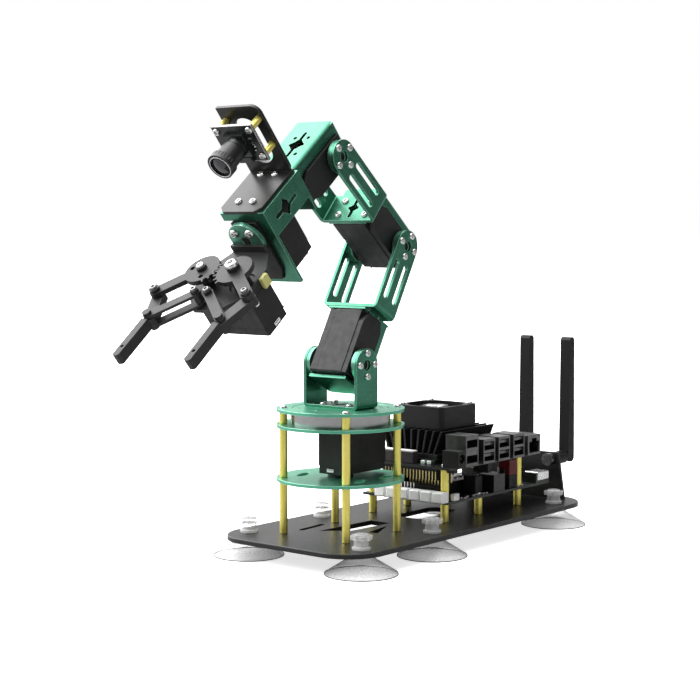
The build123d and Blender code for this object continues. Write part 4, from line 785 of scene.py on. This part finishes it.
COVER_SCREW_SECTION = [(0, 0.5), (0.5, 0.5), (0.6, 1.0), (1.0, 1.0), (1.15, 0.6), (1.15, 0), (0, 0)]
COVER_SCREW_STEPS = 16
SOCKET_SPAN = ((SERVO_TAIL - 0.15, SERVO_TAIL + 0.5), (-2.6, 2.6), (SERVO_BACK + 1.2, SERVO_BACK + 3.2))
MOUTH_SPAN = ((SERVO_TAIL - 0.25, SERVO_TAIL), (-2.1, 2.1), (SERVO_BACK + 2.6, SERVO_BACK + 2.9))
SEAM_PROUD = 0.04
SEAM_HALF = 0.12
SEAM_X = (SERVO_TAIL - SEAM_PROUD, SERVO_NOSE + SEAM_PROUD)
SEAM_Y = (-SERVO_HALF_W - SEAM_PROUD, SERVO_HALF_W + SEAM_PROUD)
SEAMS = [(SEAM_X, SEAM_Y, (z - SEAM_HALF, z + SEAM_HALF)) for z in (SERVO_SEAM, SERVO_DECK_Z)]


def servo_details(node, place):
    """Cover screws, the cable socket at the tail and the seams of the case."""
    metal = bmesh.new()
    for x, y in COVER_SCREWS:
        spot = place @ Matrix.Translation((x, y, COVER_SCREW_SEAT)) @ Matrix.Rotation(math.pi, 4, "X")
        turned(metal, COVER_SCREW_SECTION, COVER_SCREW_STEPS, spot)
    new_piece(node + "_cover_screws", metal, node, DARK_SCREW)
    boxes(node + "_socket", node, SOCKET, [SOCKET_SPAN], place, 0.1)
    boxes(node + "_socket_mouth", node, CHIP, [MOUTH_SPAN], place)
    boxes(node + "_seams", node, CHIP, SEAMS, place)


for servo_node, servo_place in SERVO_FRAMES.items():
    servo_details(servo_node, servo_place)

# ---------------------------------------------------------------- gripper details
HORN_FACE_V = 80.3
HORN_SCREW_OFF = 5.8
ROLL_W = ROLL_HEIGHT / MM
PIVOT_O = (GRIP_SERVO_POINT.x, GRIP_SERVO_POINT.y)
PIVOT_I = (127.0, 5.0)
LINK_HEAD_W = 6.3
ARM_HEAD_W = 7.5
HUB_TOP_W = 8.5
GRIP_TAIL_Y = 22.5
GRIP_TAIL_SCREW = (115.5, GRIP_TAIL_Y, -13.5)
GRIP_FRONT_SCREW = (118.5, -7.8, -31.0)
GRIP_PLUG_SPAN = ((99.0, 105.0), (GRIP_TAIL_Y - 0.5, GRIP_TAIL_Y + 2.2), (-12.0, -5.0))
HORN_SCREW_SIZE = 1.25
HUB_SCREW_SIZE = 1.75
DRIVEN_SCREW_SIZE = 1.1
PIN_SCREW_SIZE = 0.95


def facing_tool(v, y, w):
    """Seat in the hand whose outward way is along the tool."""
    return tool(v, y, w) @ Matrix.Rotation(math.pi / 2, 4, "Y")


def joint_spot(name, height):
    """Seat over a gripper joint, at a height above the middle of the hand."""
    point = HAND.inverted() @ (Vector(JOINTS[name]["pos_m"]) / MM)
    return tool(point.x, point.y, height)


HORN_SCREW_W = ROLL_W + HORN_SCREW_OFF
HORN_SPOTS = [facing_tool(HORN_FACE_V, y, HORN_SCREW_W) for y in (-HORN_SCREW_OFF, HORN_SCREW_OFF)]
TAIL_SPOT = tool(*GRIP_TAIL_SCREW) @ Matrix.Rotation(-math.pi / 2, 4, "X")
DRIVEN_SPOT = tool(PIVOT_O[0], -PIVOT_O[1], ARM_HEAD_W)
PIN_SPOTS = [tool(PIVOT_I[0], side * PIVOT_I[1], LINK_HEAD_W) for side in (1, -1)]

screw_row("roll_horn_screws", "roll_horn", SCREW, HORN_SPOTS, HORN_SCREW_SIZE)
screw_row("drive_hub_screw", "drive_arm", SCREW, [tool(*PIVOT_O, HUB_TOP_W)], HUB_SCREW_SIZE)
screw_row("gripper_servo_screws", "gripper_servo", SCREW, [TAIL_SPOT, facing_tool(*GRIP_FRONT_SCREW)])
boxes("gripper_servo_plug", "gripper_servo", YELLOW, [GRIP_PLUG_SPAN], HAND, 0.4)
screw_row("frame_pin_screws", "gripper_frame", DARK_SCREW, PIN_SPOTS, PIN_SCREW_SIZE)
screw_row("driven_arm_pin_screw", "gripper_frame", SCREW, [DRIVEN_SPOT], DRIVEN_SCREW_SIZE)
for finger in ("right_finger", "left_finger"):
    pin_spot = joint_spot(finger + "_pivot", ARM_HEAD_W)
    screw_row(finger + "_outer_screw", finger, DARK_SCREW, [pin_spot], PIN_SCREW_SIZE)

# ---------------------------------------------------------------- camera details
LENS_W = ABOVE.dot(middle("camera_lens") - WRIST) / MM
LENS_FRONT_V = 70.0
GLASS_DEPTH = 1.5
GLASS_SECTION = [(0, 1.5), (2.0, 1.42), (4.0, 1.1), (5.4, 0.6), (5.6, 0.0), (0, 0)]
GLASS_STEPS = 48
RING_SECTION = [(6.55, 0), (6.75, 0.1), (6.95, 0.1), (7.15, 0), (6.55, 0)]
RING_STEPS = 64
BOARD_V = 47.0
BOARD_FACE_V = 48.6
BOARD_HALF_Y = 15.5
BOARD_LOW_W = 35.5
BOARD_HIGH_W = 60.5
EDGE_IN = 0.3
EDGE_PROUD = 0.05
PART_COUNT = 16
PART_REACH_Y = (8.6, 10.4)
PART_REACH_W = (BOARD_LOW_W + 3, BOARD_HIGH_W - 4)
PART_SIZE = (0.7, 1.4, 0.8)


def board_edges():
    """Pale raw edges round the camera board."""
    face = (BOARD_V - EDGE_PROUD, BOARD_FACE_V + EDGE_PROUD)
    across = (-BOARD_HALF_Y, BOARD_HALF_Y)
    upward = (BOARD_LOW_W, BOARD_HIGH_W)
    spans = [
        (face, across, (BOARD_HIGH_W - EDGE_IN, BOARD_HIGH_W)),
        (face, across, (BOARD_LOW_W, BOARD_LOW_W + EDGE_IN)),
        (face, (BOARD_HALF_Y - EDGE_IN, BOARD_HALF_Y), upward),
        (face, (-BOARD_HALF_Y, EDGE_IN - BOARD_HALF_Y), upward),
    ]
    boxes("camera_board_edges", "camera_board", LAMINATE, spans, HAND)


def board_parts():
    """Small tinned parts on both sides of the lens holder."""
    spans = []
    for _ in range(PART_COUNT):
        y = DICE.choice((-1, 1)) * DICE.uniform(*PART_REACH_Y)
        w = DICE.uniform(*PART_REACH_W)
        deep, wide, tall = PART_SIZE
        spans.append(((BOARD_FACE_V, BOARD_FACE_V + deep), (y, y + wide), (w, w + tall)))
    boxes("camera_board_parts", "camera_board", TIN, spans, HAND)


def lens_details():
    """Front glass of the lens and the pale ring around it."""
    glass = bmesh.new()
    turned(glass, GLASS_SECTION, GLASS_STEPS, facing_tool(LENS_FRONT_V - GLASS_DEPTH, 0, LENS_W))
    new_piece("lens_front_glass", glass, "camera_lens", GLASS)
    ring = bmesh.new()
    turned(ring, RING_SECTION, RING_STEPS, facing_tool(LENS_FRONT_V, 0, LENS_W))
    new_piece("lens_rim_ring", ring, "camera_lens", TIN)


board_edges()
board_parts()
lens_details()

# ---------------------------------------------------------------- boards and ports
BOARD_T = 1.6
DRIVER_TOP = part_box("driver_board")[0].z / MM + BOARD_T
COMPUTER_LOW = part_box("computer_board")[0].z / MM
COMPUTER_TOP = COMPUTER_LOW + BOARD_T
PIN_PITCH = 2.54
PIN_W = 0.64
THIN_PIN_W = 0.5
FIELD_PIN_W = 0.6


def pin_row(x_values, y_values, z, width=PIN_W):
    """Spans of square pins standing at every x and y."""
    half = width / 2
    return [((x - half, x + half), (y - half, y + half), z) for x in x_values for y in y_values]


def steps(start, stop, step=PIN_PITCH):
    """Values from start up to stop, one step apart."""
    return [start + step * k for k in range(int((stop - start) / step) + 1)]


def board_pieces(rows):
    """Pieces on a board, from rows of name, node, look, rounding, level and boxes above that level."""
    for name, node, look, bevel, level, spans in rows:
        lifted = [(x, y, (level + z[0], level + z[1])) for x, y, z in spans]
        boxes(name, node, look, lifted, BASE, bevel)


# The header under the computer board skips the pins that would stand in a spacer.
SPACER_CLEAR = 4.0
HEADER_YS = [y for y in steps(-27.0, 38.0) if abs(y - STANDOFF_Y) > SPACER_CLEAR]
HEADER_PIECES = (
    ("header_pins", "computer_board", GOLD, 0.0, COMPUTER_LOW,
     pin_row((-67.6,), HEADER_YS, (-8.5, 0.0), THIN_PIN_W)),
    ("header_bodies", "computer_board", CHIP, 0.15, COMPUTER_LOW,
     [((-71.5, -66.3), (-28.4, 24.6), (-2.4, 0.0)), ((-71.5, -66.3), (33.8, 38.8), (-2.4, 0.0))]),
    ("servo_header_pins", "driver_board", TIN, 0.0, DRIVER_TOP,
     pin_row((-68.4,), steps(-22.0, 6.0), (0.0, 10.0))),
    ("driver_header_pins", "driver_board", GOLD, 0.0, DRIVER_TOP,
     pin_row((-80.0,), steps(-6.0, 22.0), (0.0, 11.0))),
    ("driver_header_body", "driver_board", CHIP, 0.15, DRIVER_TOP,
     [((-81.3, -78.7), (-7.3, 23.3), (0.0, 2.5))]),
)
MODULE_PIECES = (
    ("module_socket", "computer_board", MODULE, 0.3, COMPUTER_TOP,
     [((-70.0, -64.0), (-24.0, 8.0), (0.0, 7.5))]),
    ("module_socket_edge", "computer_board", LAMINATE, 0.1, COMPUTER_TOP,
     [((-69.6, -64.4), (-23.6, 7.6), (7.5, 8.3))]),
    ("computer_small_cans", "computer_board", TIN, 0.2, COMPUTER_TOP,
     [((-71.5, -66.5), (12.5, 16.0), (0.0, 2.6)), ((-71.5, -66.5), (17.5, 21.0), (0.0, 2.6))]),
)
DRIVER_PIECES = (
    ("red_component", "driver_board", RED, 0.4, DRIVER_TOP, [((-148.5, -139.0), (24.5, 33.5), (9.0, 19.5))]),
    # The red part's lower half is dark: painted shade under the computer board.
    ("red_component_shaded_base", "driver_board", CHIP, 0.3, DRIVER_TOP,
     [((-148.5, -139.0), (24.5, 33.5), (0.0, 9.0))]),
    ("supply_plug", "driver_board", TIN, 0.4, DRIVER_TOP, [((-186.2, -172.0), (24.4, 35.2), (1.5, 7.4))]),
    ("corner_plug", "driver_board", SOCKET, 0.3, DRIVER_TOP, [((-79.0, -73.0), (32.0, 34.8), (0.0, 4.5))]),
)
COMPUTER_DRESSING = (
    ("computer_large_chips", "computer_board", CHIP, 0.15, COMPUTER_TOP,
     [((-158.0, -148.0), (2.0, 12.0), (0.0, 1.2)), ((-149.0, -142.0), (-16.0, -9.0), (0.0, 1.4))]),
    ("computer_pin_field", "computer_board", GOLD, 0.0, COMPUTER_TOP,
     pin_row(steps(-149.0, -93.0), (-35.8, -33.3), (2.5, 8.5), FIELD_PIN_W)),
)
DRIVER_DRESSING = (
    ("driver_large_parts", "driver_board", CHIP, 0.3, DRIVER_TOP, [
        ((-183.0, -170.0), (-28.0, -14.0), (0.0, 6.0)), ((-166.0, -158.0), (-4.0, 4.0), (0.0, 1.2)),
        ((-184.0, -174.0), (0.0, 16.0), (0.0, 8.0)),
    ]),
)
HANGING = COMPUTER_LOW - DRIVER_TOP    # height of the computer board's underside over the driver board
TALL_PIECES = (
    ("tall_dark_parts", "driver_board", CHIP, 0.4, DRIVER_TOP, [
        ((-78.0, -73.5), (-30.0, 20.0), (0.0, 8.5)), ((-100.0, -84.0), (-32.0, -14.0), (0.0, 17.5)),
        ((-103.0, -86.0), (-10.0, 10.5), (0.0, 19.0)),
        ((-84.0, -80.5), (-12.0, 11.0), (HANGING - 9.5, HANGING)),
        ((-112.0, -104.0), (20.0, 30.0), (0.0, 12.0)),
        ((-118.0, -114.0), (21.0, 33.0), (HANGING - 8.0, HANGING)),
    ]),
)
# The pale hub disc is a painted highlight inside the fan.
HUB_DISC_R = 6.6
HUB_DISC_T = 0.1
HUB_DISC_STEPS = 40


def fan_hub_highlight():
    """Pale round disc on the fan's hub: painted highlight inside the fan."""
    mesh = bmesh.new()
    centre = middle("fan_rotor")
    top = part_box("fan_rotor")[1].z / MM - centre.z / MM
    section = [(0, top + HUB_DISC_T), (HUB_DISC_R, top + HUB_DISC_T), (HUB_DISC_R + 0.2, top), (0, top)]
    turned(mesh, section, HUB_DISC_STEPS, Matrix.Translation(centre / MM))
    new_piece("fan_hub_highlight_disc", mesh, "fan_rotor", TIN)


EDGE_PART_COUNT = 40
EDGE_PART_X = (-165.0, -76.0)
EDGE_PART_YS = ((-33.0, 10.0), (30.5, 33.5))
EDGE_PART_SIZE = (1.8, 1.0, 0.8)


def driver_edge_parts():
    """Pale parts in two bands along the driver board."""
    long, wide, tall = EDGE_PART_SIZE
    spans = []
    for k in range(EDGE_PART_COUNT):
        x = DICE.uniform(*EDGE_PART_X)
        y = DICE.uniform(*EDGE_PART_YS[k % 2])
        spans.append(((x, x + long), (y, y + wide), (DRIVER_TOP, DRIVER_TOP + tall)))
    boxes("driver_small_parts", "driver_board", LAMINATE, spans, BASE)


def scattered(count, x, y, clear_of):
    """Places for small parts inside a span, away from the given rectangle."""
    places = []
    while len(places) < count:
        spot = (DICE.uniform(*x), DICE.uniform(*y))
        inside = clear_of[0][0] < spot[0] < clear_of[0][1] and clear_of[1][0] < spot[1] < clear_of[1][1]
        if not inside:
            places.append(spot)
    return places


def small_parts(name, node, look, spots, size, top):
    """Small parts lying on a board, half of them turned a quarter."""
    spans = []
    for x, y in spots:
        long, wide, tall = size if DICE.random() < 0.5 else (size[1], size[0], size[2])
        spans.append(((x, x + long), (y, y + wide), (top, top + tall)))
    boxes(name, node, look, spans, BASE)


# Where small parts are scattered, and the rectangles kept clear of them.
COMPUTER_FIELD = (90, (-159.0, -66.0), (-31.0, 26.0))
HEAT_SINK_SPAN = ((-139.0, -66.0), (-26.0, 26.0))
DRIVER_FIELD = (70, (-184.0, -68.0), (-33.0, 20.0))
COVERED_SPAN = ((-150.0, -74.0), (-33.0, 20.0))
CONTACT_SIZE = (1.6, 0.8, 0.5)
COMPUTER_CHIP_SIZE = (2.6, 2.0, 0.9)
DRIVER_CHIP_SIZE = (3.0, 2.2, 1.0)


def board_dressing():
    """Chips, capacitors and contacts on the open parts of both boards."""
    spots = scattered(*COMPUTER_FIELD, HEAT_SINK_SPAN)
    half = len(spots) // 2
    small_parts("computer_contacts", "computer_board", TIN, spots[:half], CONTACT_SIZE, COMPUTER_TOP)
    small_parts("computer_chips", "computer_board", CHIP, spots[half:], COMPUTER_CHIP_SIZE, COMPUTER_TOP)
    board_pieces(COMPUTER_DRESSING)
    spots = scattered(*DRIVER_FIELD, COVERED_SPAN)
    half = len(spots) // 2
    small_parts("driver_contacts", "driver_board", TIN, spots[:half], CONTACT_SIZE, DRIVER_TOP)
    small_parts("driver_chips", "driver_board", CHIP, spots[half:], DRIVER_CHIP_SIZE, DRIVER_TOP)
    board_pieces(DRIVER_DRESSING)


SOCKET_COUNT = 6
SOCKET_GAP = 0.0008
HOUSING_X = (-66.7, -59.3)
HOUSING_H = 6.7
HOUSING_IN = (0.35, 1.15)    # kept free at the two ends of each pitch
HOUSING_ROUNDING = 0.7


def socket_faces():
    """White rounded housings filling the servo sockets, with a dark slit between neighbours."""
    low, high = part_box("servo_sockets")
    pitch = (high.y - low.y + SOCKET_GAP) / SOCKET_COUNT / MM
    spans = []
    for k in range(SOCKET_COUNT):
        start = low.y / MM + pitch * k
        y = (start + HOUSING_IN[0], start + pitch - HOUSING_IN[1])
        spans.append((HOUSING_X, y, (DRIVER_TOP, DRIVER_TOP + HOUSING_H)))
    boxes("servo_socket_housings", "servo_sockets", SOCKET, spans, BASE, HOUSING_ROUNDING)


board_pieces(HEADER_PIECES)
board_pieces(MODULE_PIECES)
fan_hub_highlight()
board_pieces(DRIVER_PIECES)
driver_edge_parts()
board_dressing()
socket_faces()
board_pieces(TALL_PIECES)
